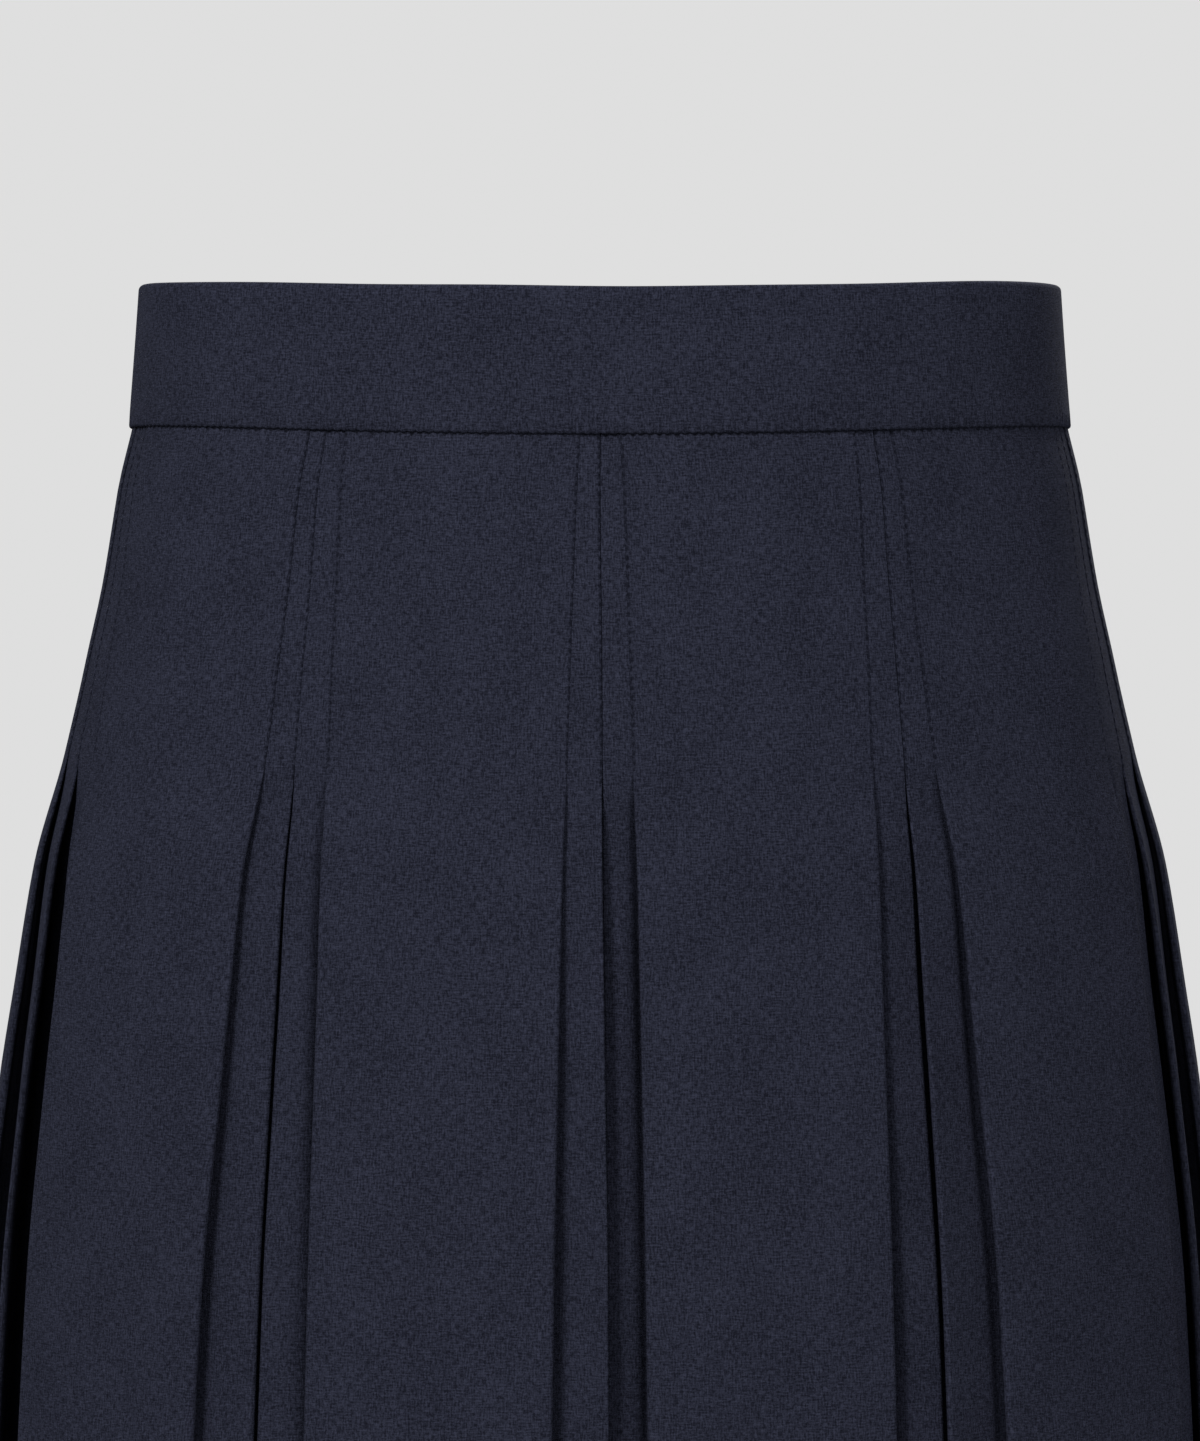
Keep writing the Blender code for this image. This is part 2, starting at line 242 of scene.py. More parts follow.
class Oval:
    """The section that the cloth follows at one fall."""

    def __init__(self, fall: float) -> None:
        """Work out the oval.

        Args:
            fall: millimetres below the waist seam, negative inside the band.
        """
        self.fall = fall
        taper = BAND_TAPER * max(-fall, 0.0) / BAND_HEIGHT
        shown = sum(SIZES[g.left].at(fall) + SIZES[g.right].at(fall) for g in GROUPS)
        self.girth = len(GROUPS) * SIZES["panel"].at(fall) + shown - taper
        ratio = SIZES["depth_ratio"].at(fall)
        squash = ((1 - ratio) / (1 + ratio)) ** 2
        self.side = self.girth / (
            math.pi * (1 + ratio) * (1 + 3 * squash / (10 + math.sqrt(4 - 3 * squash)))
        )
        self.deep = self.side * ratio
        self.middle = self.deep - SIZES["front"].at(fall) + taper / (2 * math.pi)
        self.angles = np.linspace(-math.pi, math.pi, 2881)
        steps = np.hypot(
            np.diff(self.side * np.sin(self.angles)),
            np.diff(self.deep * np.cos(self.angles)),
        )
        lengths = np.concatenate([[0.0], np.cumsum(steps)])
        self.lengths = (lengths / lengths[-1] - 0.5) * self.girth

    def outward(self, along: np.ndarray) -> np.ndarray:
        """Level directions that point out of the oval."""
        angle = np.interp(along, self.lengths, self.angles)
        out = np.stack(
            [np.sin(angle) / self.side, -np.cos(angle) / self.deep, np.zeros_like(angle)], axis=-1
        )
        return out / np.linalg.norm(out, axis=-1, keepdims=True)

    def relief(self, along: np.ndarray) -> np.ndarray:
        """How far the creases and the hang of the cloth move it outwards.

        Args:
            along: distances round the figure.

        Returns:
            The outward movement of each point, none at the centre back.
        """
        out = np.zeros_like(along)
        for crease in CREASES:
            t = (self.fall - crease.start) / (crease.end - crease.start)
            lasts = crease.end >= LASTING_FALL
            if 0.0 < t < 1.0 or (t >= 1.0 and lasts):
                middle = crease.along + crease.drift * t
                fade = math.sin(math.pi * min(t, LASTING_PEAK if lasts else 1.0)) ** CREASE_FADE
                out += crease.height * fade * np.exp(-(((along - middle) / crease.width) ** 2))
        around = np.sin(along / SWAY_ROUND + SWAY_START)
        aslant = np.sin(self.fall / SWAY_DOWN + along / SWAY_ASLANT)
        out += SWAY * eased(*SWAY_GROWS, self.fall) * around * aslant
        return out * smooth_step(0.0, BACK_FLAT, self.girth / 2 - np.abs(along))

    def place(self, along: np.ndarray, depth: np.ndarray, drop: float = 0.0) -> np.ndarray:
        """Points on the cloth.

        Args:
            along: distances round the figure.
            depth: depths behind the outermost layer.
            drop: how far the points are let down.

        Returns:
            The points, in millimetres, one to a row.
        """
        angle = np.interp(along, self.lengths, self.angles)
        top = WAIST_DIP * np.sin(angle) ** 2 - BAND_HEIGHT / 2
        if self.fall <= 0:
            height = top - self.fall
        else:
            height = top + (-BAND_HEIGHT / 2 - SKIRT_LENGTH - top) * self.fall / SKIRT_LENGTH
        on_oval = np.stack(
            [self.side * np.sin(angle), self.middle - self.deep * np.cos(angle), height - drop],
            axis=-1,
        )
        return on_oval - self.outward(along) * np.asarray(depth)[..., None]


def sheet_object(
    name: str,
    grid: np.ndarray,
    across_mm: np.ndarray,
    down_mm: np.ndarray,
    left_out: Iterable[tuple[int, int]] = (),
) -> bpy.types.Object:
    """A sheet through a grid of points, with its cut sizes as a UV map in millimetres.

    Args:
        name: the object's name.
        grid: points in millimetres, row by column by three.
        across_mm: the place along the cut of each column, or of each point.
        down_mm: the place of each row down the cut.
        left_out: cells, as (row, column), that have no cloth.

    Returns:
        The object, linked to the scene.
    """
    rows, columns = grid.shape[:2]
    cells = np.array([[r, c] for r in range(rows - 1) for c in range(columns - 1)])
    if left_out:
        gaps = set(left_out)
        cells = np.array([cell for cell in cells if tuple(cell) not in gaps])
    r, c = cells[:, 0], cells[:, 1]
    first = r * columns + c
    faces = np.stack([first, first + columns, first + columns + 1, first + 1], axis=1)
    mesh = bpy.data.meshes.new(name)
    mesh.vertices.add(rows * columns)
    mesh.vertices.foreach_set("co", (grid.reshape(-1, 3) * MM).ravel())
    mesh.loops.add(faces.size)
    mesh.loops.foreach_set("vertex_index", faces.ravel().astype(np.int32))
    mesh.polygons.add(len(faces))
    mesh.polygons.foreach_set("loop_start", np.arange(0, faces.size, 4, dtype=np.int32))
    mesh.update(calc_edges=True)
    mesh.validate()
    uv = mesh.uv_layers.new(name="Cut")
    corner = faces.ravel()
    along_cut = np.broadcast_to(across_mm, (rows, columns)).ravel()
    flat = np.stack([along_cut[corner], down_mm[corner // columns]], axis=1)
    uv.data.foreach_set("uv", flat.ravel().astype(np.float32))
    made = bpy.data.objects.new(name, mesh)
    bpy.context.scene.collection.objects.link(made)
    return made


def activate(piece: bpy.types.Object) -> None:
    """Select a piece alone and make it the active one."""
    bpy.ops.object.select_all(action="DESELECT")
    piece.select_set(True)
    bpy.context.view_layer.objects.active = piece


def apply_modifiers(piece: bpy.types.Object) -> None:
    """Apply all of a piece's modifiers."""
    activate(piece)
    for step in list(piece.modifiers):
        bpy.ops.object.modifier_apply(modifier=step.name)


def smooth(piece: bpy.types.Object, degrees: float = 50.0) -> None:
    """Shade a piece smooth except at its sharp edges."""
    activate(piece)
    bpy.ops.object.shade_smooth_by_angle(angle=math.radians(degrees))


def add_wall(piece: bpy.types.Object, wall: float, thinned_by: str = "") -> None:
    """Thicken a sheet evenly to both sides.

    Args:
        piece: the sheet.
        wall: its thickness in millimetres.
        thinned_by: the vertex group that makes it thinner in places, if it has one.
    """
    step = piece.modifiers.new("Wall", "SOLIDIFY")
    step.thickness = wall * MM
    step.offset = 0.0
    step.use_even_offset = True
    step.vertex_group = thinned_by
    apply_modifiers(piece)


# A place on the folded path, counted from the middle line of its group: shares of the shown
# width, of the tuck, of the gap between the middle folds and of the fold's roundness, plus a fixed
# distance. The layer is counted inwards. Ditch is the distance to a line of stitches.
Station = namedtuple("Station", "shown tuck gap rounding near layer ditch")

STITCH_INSET = 0.10
BESIDE_FOLD = (STITCH_INSET, 0.4, 0.9, 2.0)
UNDER_EDGE = (1.10, 1.05, 1.0, 0.955, 0.91, 0.86, 0.80, 0.73, 0.64)
NO_DITCH = 12.0


class HalfGroup:
    """The folded path from a panel's edge to its group's middle line."""

    fold_points = 6

    def __init__(self, stitched: bool) -> None:
        """Lay the path.

        Args:
            stitched: whether the fold on the middle line has stitches.
        """
        self.stations: list[Station] = []
        edge, behind, centre = (1.0, 0.0, 0.0), (1.0, 1.0, 0.0), (0.0, 0.0, 1.0)
        self._beside(edge, 0.0, True)
        self._fold(edge, 0, -1.0, True)
        self._run((*edge, 1.0, 0.0), (*behind, -1.0, 0.0), 1, 3)
        self._fold(behind, 1, 1.0, False)
        first, last = (
            (share, 0.0, 1.0 - share, 0.0, 0.0) for share in (UNDER_EDGE[0], UNDER_EDGE[-1])
        )
        self._run((*behind, -1.0, 0.0), first, 2, 2)
        for share in UNDER_EDGE:
            self.stations.append(Station(share, 0.0, 1.0 - share, 0.0, 0.0, 2.0, NO_DITCH))
        self._run(last, (*centre, 1.0, BESIDE_FOLD[-1]), 2, 3)
        self._beside(centre, 2.0, stitched)
        self._fold(centre, 2, -1.0, stitched)
        self._run((*centre, 1.0, 0.0), (*behind, -1.0, 0.0), 3, 4)
        self._fold(behind, 3, 1.0, False)
        self._run((*behind, -1.0, 0.0), (0.0, 0.0, 0.0, 0.0, 0.0), 4, 3)
        self.stations.append(Station(0.0, 0.0, 0.0, 0.0, 0.0, 4.0, NO_DITCH))

    def column(self, name: str) -> np.ndarray:
        """One column of the stations."""
        return np.array([getattr(station, name) for station in self.stations])

    def _beside(self, anchor: Sequence[float], layer: float, stitched: bool) -> None:
        """Stations close together on the cloth that leads to a fold."""
        for near in reversed(BESIDE_FOLD):
            ditch = abs(near - STITCH_INSET) if stitched else NO_DITCH
            self.stations.append(Station(*anchor, 1.0, near, layer, ditch))

    def _fold(self, anchor: Sequence[float], layer: int, out: float, stitched: bool) -> None:
        """A turn from one layer to the next whose crown is at the anchor."""
        for turn in np.linspace(-math.pi / 2, math.pi / 2, self.fold_points):
            ditch = STITCH_INSET if stitched and turn < 0.2 else NO_DITCH
            rounding = out * (math.cos(turn) - 1)
            level = layer + 0.5 + 0.5 * math.sin(turn)
            self.stations.append(Station(*anchor, rounding, 0.0, level, ditch))

    def _run(self, start: Sequence[float], end: Sequence[float], layer: int, count: int) -> None:
        """Stations between two places on one layer, with the ends left out."""
        for t in np.linspace(0.0, 1.0, count + 2)[1:-1]:
            place = [a + (b - a) * t for a, b in zip(start, end)]
            self.stations.append(Station(*place, float(layer), NO_DITCH))


@dataclass(frozen=True)
class Hang:
    """How the strips of a group hang below the stitches.

    A strip is sunk at the middle line by the share middle of the opening's depth, and a lower strip
    at the panel's edge by lower_edge. An edge is raised by shares of the layers' spacing until the
    cloth settles. Ramp is the share of a lower strip's width over which it sinks. On either side of
    the group, reach is how far in from the panel's edge a strip rolls, dip and roll are shares of
    the opening's own, and share is what is left of both. What is named low is added low down.
    """

    middle: float = 1.35
    middle_low: float = 0.0
    upper_edge_low: float = 0.0
    upper_raise: float = 0.0
    lower_edge: float = 1.1
    lower_raise: float = 0.0
    ramp: float = 0.55
    left_reach: float = 2.2
    left_reach_low: float = 0.0
    left_dip: float = 0.25
    left_roll: float = 0.25
    left_roll_low: float = 0.0
    right_reach: float = 2.2
    right_dip: float = 1.0
    right_roll: float = 0.9
    right_roll_low: float = 0.0
    right_share: float = 1.0
    right_share_low: float = 0.0


LEFT_HANG = Hang(left_reach=4.0, right_reach=4.0, right_roll=0.95, right_roll_low=1.15)
CENTRE_HANG = Hang(upper_raise=0.45, right_share_low=-0.32)
RIGHT_HANG = Hang(
    middle=0.5,
    middle_low=-0.35,
    upper_edge_low=-0.45,
    lower_edge=0.0,
    lower_raise=0.6,
    ramp=1.0,
    left_reach=3.8,
    left_reach_low=2.4,
    left_roll=1.35,
    left_roll_low=0.95,
    right_dip=0.35,
    right_share=0.8,
    right_share_low=-0.3,
)


@dataclass
class PleatedCloth:
    """The front and the two backs, folded round the figure."""

    cloth: float = 0.30
    pressed: float = 0.18
    loosens: tuple[float, float] = (88.0, 112.0)
    panel_columns: int = 13
    fold_flatness: float = 0.45
    visible_inset: float = 0.5
    edge_release: float = 92.0
    middle_release: float = 97.0
    hem_fold: float = 380.0
    settles: tuple[float, float] = (150.0, 250.0)
    upper_settles: tuple[float, float] = (125.0, 170.0)
    roll_deepens: tuple[float, float] = (104.0, 135.0)
    share_drops: tuple[float, float] = (130.0, 220.0)
    plain_edges: tuple[float, float] = (0.3, 1.0)
    plain_middle: float = 0.6
    plain_lift: float = 0.4
    lower_gap: float = 0.2
    under_rise: float = 1.5
    roll_past: float = 0.7
    dip_reach: tuple[float, float] = (7.0, 1.0)
    sunk_layers: tuple[float, ...] = (0.0, 1.0, 1.0, 1.0)
    dipped_layers: tuple[float, ...] = (0.0, 1.0, 0.8, 0.6)
    right_ditch: float = 0.45
    usual_fall: float = 200.0
    top_lift: float = 0.08
    top_fades: float = 8.0
    row_falls: np.ndarray = field(
        default_factory=lambda: np.concatenate(
            [
                np.array([0.0, 1.2, 2.8, 5.0, 8.0]),
                np.arange(12.0, 84.0, 5.4),
                np.arange(84.0, 128.0, 3.4),
                np.arange(129.0, 376.0, 6.9),
                np.array([378.0, 381.0, 388.0, 396.0, 404.0, 408.5, 410.0]),
            ]
        )
    )

    def __post_init__(self) -> None:
        """Lay the half groups as arrays."""
        self.halves = {stitched: HalfGroup(stitched) for stitched in (True, False)}

    def middles(self, fall: float) -> list[float]:
        """The middle line of each group, as distances round the figure."""
        at = -Oval(fall).girth / 2 + SIZES["panel"].at(fall) / 2
        places = []
        for group in GROUPS:
            at += SIZES[group.left].at(fall)
            places.append(at)
            at += SIZES[group.right].at(fall) + SIZES["panel"].at(fall)
        return places

    def tuck(self, shown: float, fall: float) -> float:
        """Cloth hidden behind a panel's edge."""
        spread = SIZES["panel"].at(fall) - SIZES["panel"].at(0.0)
        return (FOLD_CUT - spread / 2 - 3 * shown) / 4

    def wall(self, fall: float) -> float:
        """The cloth's thickness: pressed flat under the stitches, double in the hem."""
        single = self.pressed + (self.cloth - self.pressed) * eased(*self.loosens, fall)
        return single * (2.0 if fall > self.hem_fold else 1.0)

    def half_path(self, number: int, fall: float, side: float) -> np.ndarray:
        """Stations of half a group.

        Args:
            number: the group's number.
            fall: the fall of the row.
            side: -1 for the group's left, 1 for its right.

        Returns:
            Distances from the middle line, depths and distances to a line of stitches.
        """
        group = GROUPS[number]
        shown = SIZES[group.left if side < 0 else group.right].at(fall)
        over = self.is_upper(group, side)
        plain = group.over is Over.NEITHER
        now = {name: column.at(fall) for name, column in OPEN.items()}
        half = self.halves[over]
        layer = half.column("layer")
        inset = self.visible_inset - self.wall(fall) / 2
        width = shown - inset
        behind = width + self.tuck(shown, fall) + inset
        beside = now["gap"] if plain else (-now["lap"] if over else self.lower_gap)
        apart = self.wall(fall) / 2 + beside
        away = (
            half.column("shown") * width
            + half.column("tuck") * (behind - width)
            + half.column("gap") * apart
            + half.column("near")
            + half.column("rounding") * now["spacing"] * self.fold_flatness
        )
        hang = self.hang_of(number)
        middle, edge, ramp, lift = self.sunk(hang, over, plain, side, fall)
        sunk = middle + (edge - middle) * smooth_step(0.0, width * ramp, away)
        outer = width + self.visible_inset
        inner = (layer >= 1.5) & (layer <= 3.5)
        to_fold = np.clip((outer - away) / (outer - apart), 0.0, 1.0)
        depth = layer * now["spacing"] - np.where(inner, to_fold**self.under_rise, 0.0) * lift
        layers = [1.0, 2.0, 3.0, 4.0]
        depth = depth + np.interp(layer, layers, self.sunk_layers) * sunk
        dip = self.dip(hang, side, fall, away, width)
        depth = depth + np.interp(layer, layers, self.dipped_layers) * dip
        on_panel = layer < 1.0
        ditch = half.column("ditch") * np.where(on_panel & (side > 0), self.right_ditch, 1.0)
        release = np.where(on_panel, self.edge_release, self.middle_release)
        return np.stack([away, depth, ditch + np.clip(fall - release, 0.0, None)])

    def hang_of(self, number: int) -> Hang:
        """How the strips of a group hang."""
        if number <= LAST_LEFT_GROUP:
            return LEFT_HANG
        return RIGHT_HANG if number >= FIRST_RIGHT_GROUP else CENTRE_HANG

    def sunk(
        self, hang: Hang, over: bool, plain: bool, side: float, fall: float
    ) -> tuple[float, float, float, float]:
        """How deep a strip lies below the stitches.

        Args:
            hang: how the strips of the group hang.
            over: whether the strip's fold lies on top at the middle line.
            plain: whether neither fold of the group lies on top.
            side: -1 for the group's left, 1 for its right.
            fall: the fall of the row.

        Returns:
            The depth at the middle line and at the panel's edge, the share of the width over
            which one turns into the other, and how far the fold is lifted from the middle's depth.
        """
        spacing = OPEN["spacing"].at(fall)
        deep = OPEN["sunk"].at(fall)
        shallow = OPEN["sunk_upper"].at(fall)
        if plain:
            edge = shallow * self.plain_edges[int(side > 0)]
            return shallow * self.plain_middle, edge, 1.0, self.plain_lift * spacing
        low = eased(*self.settles, fall)
        middle = deep * (hang.middle + hang.middle_low * low)
        if not over:
            edge = deep * hang.lower_edge - hang.lower_raise * spacing * (1.0 - low)
            return middle, edge, hang.ramp, 0.0
        raised = hang.upper_raise * spacing * (1.0 - eased(*self.upper_settles, fall))
        edge = shallow * (1.0 + hang.upper_edge_low * low) - raised
        return middle, edge, 1.0, 2 * spacing + middle - OPEN["crown"].at(fall)

    def dip(
        self, hang: Hang, side: float, fall: float, away: np.ndarray, width: float
    ) -> np.ndarray:
        """How far a strip dips and rolls in behind its panel's edge.

        Args:
            hang: how the strips of the group hang.
            side: -1 for the group's left, 1 for its right.
            fall: the fall of the row.
            away: distances from the middle line.
            width: the distance of the panel's edge.

        Returns:
            The added depths.
        """
        low = eased(*self.settles, fall)
        reach = hang.right_reach if side > 0 else hang.left_reach + hang.left_reach_low * low
        curl = OPEN["roll"].at(fall) * smooth_step(width - reach, width + self.roll_past, away)
        before, past = self.dip_reach
        dip = OPEN["dip"].at(fall) * smooth_step(width - before, width + past, away)
        if side < 0:
            return dip * hang.left_dip + curl * (hang.left_roll + hang.left_roll_low * low)
        roll = hang.right_roll + hang.right_roll_low * eased(*self.roll_deepens, fall)
        share = hang.right_share + hang.right_share_low * eased(*self.share_drops, fall)
        return (dip * hang.right_dip + curl * roll) * share

    def is_upper(self, group: Group, side: float) -> bool:
        """Whether the fold of the strip on this side has the middle line's stitches."""
        return (group.over is Over.RIGHT) == (side > 0)

    def row(self, fall: float) -> tuple[np.ndarray, tuple[int, int], list[int]]:
        """A whole row round the skirt.

        Args:
            fall: the fall of the row.

        Returns:
            Distances round the figure, depths and distances to a line of stitches, the columns
            where the side seams cut, and the columns on the panels' and the groups' middles.
        """
        girth = Oval(fall).girth
        path = [self.seam_edge(fall) - np.array([[girth / 2], [0.0], [0.0]])]
        cuts = []
        middles = [0]
        size = path[0].shape[1]
        for number, middle in enumerate(self.middles(fall)):
            left = self.half_path(number, fall, -1.0)
            right = self.half_path(number, fall, 1.0)
            left[0] = middle - left[0]
            right[0] = middle + right[0]
            panel = self.panel(path[-1][0, -1], left[0, 0])
            path += [panel, left, right[:, ::-1][:, 1:]]
            if number:
                middles.append(size + self.panel_columns // 2)
            size += panel.shape[1]
            middles.append(size + left.shape[1] - 1)
            if number == SIDE_SEAM_LEFT:
                cuts.append(size + self.seam_station())
            size += left.shape[1] + right.shape[1] - 1
            if number == SIDE_SEAM_RIGHT:
                cuts.append(size - self.seam_station())
        end = self.seam_edge(fall)[:, ::-1]
        end[0] = girth / 2 - end[0]
        last = self.panel(path[-1][0, -1], end[0, 0])
        path += [last, end]
        middles.append(size + last.shape[1] + end.shape[1] - 1)
        return np.concatenate(path, axis=1), (cuts[0], cuts[1]), middles

    def seam_edge(self, fall: float) -> np.ndarray:
        """The turned-in edge at the centre back, as distance aside, depth and ditch."""
        half = self.wall(fall) / 2
        aside = half + np.array([-0.03, -0.02, 0.0, 0.07, 0.26, 0.75])
        depth = np.array([0.95, 0.6, 0.3, 0.11, 0.02, 0.0])
        return np.stack([aside, depth, np.full_like(aside, NO_DITCH)])

    def seam_station(self) -> int:
        """Stations from a panel's edge to the middle of the first inner fold."""
        layers = self.halves[True].column("layer")
        return int(np.argmax(layers >= 1.5))

    def panel(self, start: float, end: float) -> np.ndarray:
        """The middle of a panel, between the columns beside its edges."""
        along = np.linspace(start, end, self.panel_columns + 2)[1:-1]
        return np.stack([along, np.zeros_like(along), np.full_like(along, NO_DITCH)])

    def build(self) -> list[bpy.types.Object]:
        """Make the three pieces.

        Returns:
            The left back, the front and the right back.
        """
        falls = self.row_falls
        table = [self.row(fall) for fall in falls]
        cuts = table[0][1]
        grid = np.stack(
            [self.hung(fall, path[0], path[1]) for fall, (path, _, _) in zip(falls, table)]
        )
        ditch = np.stack([path[2] for path, _, _ in table])
        across = self.cut_places(grid, table[0][2])
        spans = {
            "back_left_cloth": (0, cuts[0]),
            "front_cloth": (cuts[0], cuts[1]),
            "back_right_cloth": (cuts[1], grid.shape[1]),
        }
        made = []
        for name, (first, last) in spans.items():
            piece = sheet_object(name, grid[:, first:last], across[:, first:last], falls)
            value = piece.data.attributes.new("Ditch", "FLOAT", "POINT")
            value.data.foreach_set("value", ditch[:, first:last].ravel().astype(np.float32))
            self.thicken(piece, last - first)
            spread = np.ptp(across[:, first:last], axis=1).mean()
            LOG.info("%s: cut %.3f m long", name, spread * MM)
            made.append(piece)
        return made

    def hung(self, fall: float, along: np.ndarray, depth: np.ndarray) -> np.ndarray:
        """Points on the cloth as it hangs, its top edge just inside the band's foot.

        Args:
            fall: the fall of the row.
            along: distances round the figure.
            depth: depths behind the outermost layer.

        Returns:
            The points.
        """
        oval = Oval(fall)
        tucked_up = self.top_lift * max(1.0 - fall / self.top_fades, 0.0)
        return oval.place(along, depth - oval.relief(along), -tucked_up)

    def cut_places(self, grid: np.ndarray, middles: Sequence[int]) -> np.ndarray:
        """Each point's place along the cut cloth, whose grain hangs straight.

        Args:
            grid: the points of all rows.
            middles: the columns whose place is the same in each row.

        Returns:
            The places in millimetres, row by column.
        """
        steps = np.linalg.norm(np.diff(grid, axis=1), axis=2)
        lengths = np.concatenate([np.zeros((len(grid), 1)), np.cumsum(steps, axis=1)], axis=1)
        usual = lengths[int(np.argmin(np.abs(self.row_falls - self.usual_fall)))]
        same = list(middles)
        return np.stack([np.interp(row, row[same], usual[same]) for row in lengths])

    def thicken(self, piece: bpy.types.Object, columns: int) -> None:
        """Give a sheet its wall.

        Args:
            piece: the sheet.
            columns: the number of its columns.
        """
        group = piece.vertex_groups.new(name="Wall")
        for index, fall in enumerate(self.row_falls):
            weight = self.wall(fall) / (2 * self.cloth)
            members = list(range(index * columns, (index + 1) * columns))
            group.add(members, weight, "REPLACE")
        add_wall(piece, 2 * self.cloth, group.name)
        smooth(piece, 60.0)


@dataclass
class Waistband:
    """The folded strip round the waist, open at the centre back."""

    stitch_pitch: float = 2.4
    columns_per_stitch: int = 5
    wall: float = 2.8
    foot_reach: float = 1.1
    pinch: float = 0.50
    scallop: float = 0.26
    ripples: tuple[float, float] = (0.16, 0.10)
    wanders: tuple[float, float] = (0.10, 0.09)

    def profile(self) -> np.ndarray:
        """The strip's closed cross-section, as (depth, height from its foot)."""
        outer = -BAND_PROUD - SOLID_CLOTH / 2
        inner = outer + self.wall
        top = BAND_HEIGHT
        half = self.wall / 2
        points = [(outer, h) for h in np.linspace(0.7, top - half, 13)]
        for turn in np.linspace(0.0, math.pi, 9)[1:-1]:
            depth = outer + half - half * math.cos(turn)
            points.append((depth, top - half + half * math.sin(turn)))
        points += [(inner, h) for h in np.linspace(top - half, 0.5, 9)]
        points += [(inner - 0.5, 0.05), (outer + 0.8, 0.0)]
        points += [(outer + 0.4, 0.08), (outer + 0.12, 0.3)]
        return np.array(points)

    def build(self) -> bpy.types.Object:
        """Sweep the cross-section round the waist.

        Returns:
            The band.
        """
        shape = self.profile()
        count = int(Oval(0.0).girth / self.stitch_pitch) * self.columns_per_stitch
        share = np.linspace(-0.5, 0.5, count + 1)
        rows = []
        for depth, height in shape:
            oval = Oval(-height)
            usable = oval.girth - BAND_OPENING
            along = share * usable
            foot = math.exp(-height / self.foot_reach)
            stitch = 0.5 - 0.5 * np.cos(share * count / self.columns_per_stitch * 2 * math.pi)
            slow, quick = self.ripples
            ripple = slow * np.sin(along / 17.0 + 0.8) * np.sin(height / 15.0 + along / 60.0)
            ripple += quick * np.sin(along / 8.3 + height / 22.0)
            pinch = self.pinch * foot * (1 - stitch) if depth < 1.0 else 0.0
            inward = depth + pinch + (0.0 if depth > 1.0 else ripple * min(height / 6.0, 1.0))
            slow, quick = self.wanders
            wander = slow * np.sin(along / 23.0) + quick * np.sin(along / 11.0 + 1.0)
            lift = -wander * eased(BAND_HEIGHT / 2, BAND_HEIGHT, height)
            lift = lift - self.scallop * foot * stitch * (depth < 0.8)
            points = oval.place(along, inward)
            points[:, 2] += lift
            rows.append(points)
        rows.append(rows[0])
        grid = np.stack(rows)
        steps = np.linalg.norm(np.diff(shape, axis=0), axis=1)
        distance = np.concatenate([[0.0], np.cumsum(steps)])
        down = np.concatenate([distance, [distance[-1] + 0.7]])
        across = share * (Oval(0.0).girth - BAND_OPENING)
        band = sheet_object("band_cloth", grid[::-1], across, down[::-1])
        self.close(band)
        smooth(band, 50.0)
        return band

    def close(self, band: bpy.types.Object) -> None:
        """Join the sweep to a tube and cap its two ends."""
        activate(band)
        bpy.ops.object.mode_set(mode="EDIT")
        bpy.ops.mesh.select_all(action="SELECT")
        bpy.ops.mesh.remove_doubles(threshold=1e-7)
        bpy.ops.mesh.select_all(action="DESELECT")
        bpy.ops.mesh.select_non_manifold(extend=False)
        bpy.ops.mesh.fill_holes(sides=0)
        bpy.ops.mesh.select_all(action="SELECT")
        bpy.ops.mesh.normals_make_consistent(inside=False)
        bpy.ops.object.mode_set(mode="OBJECT")


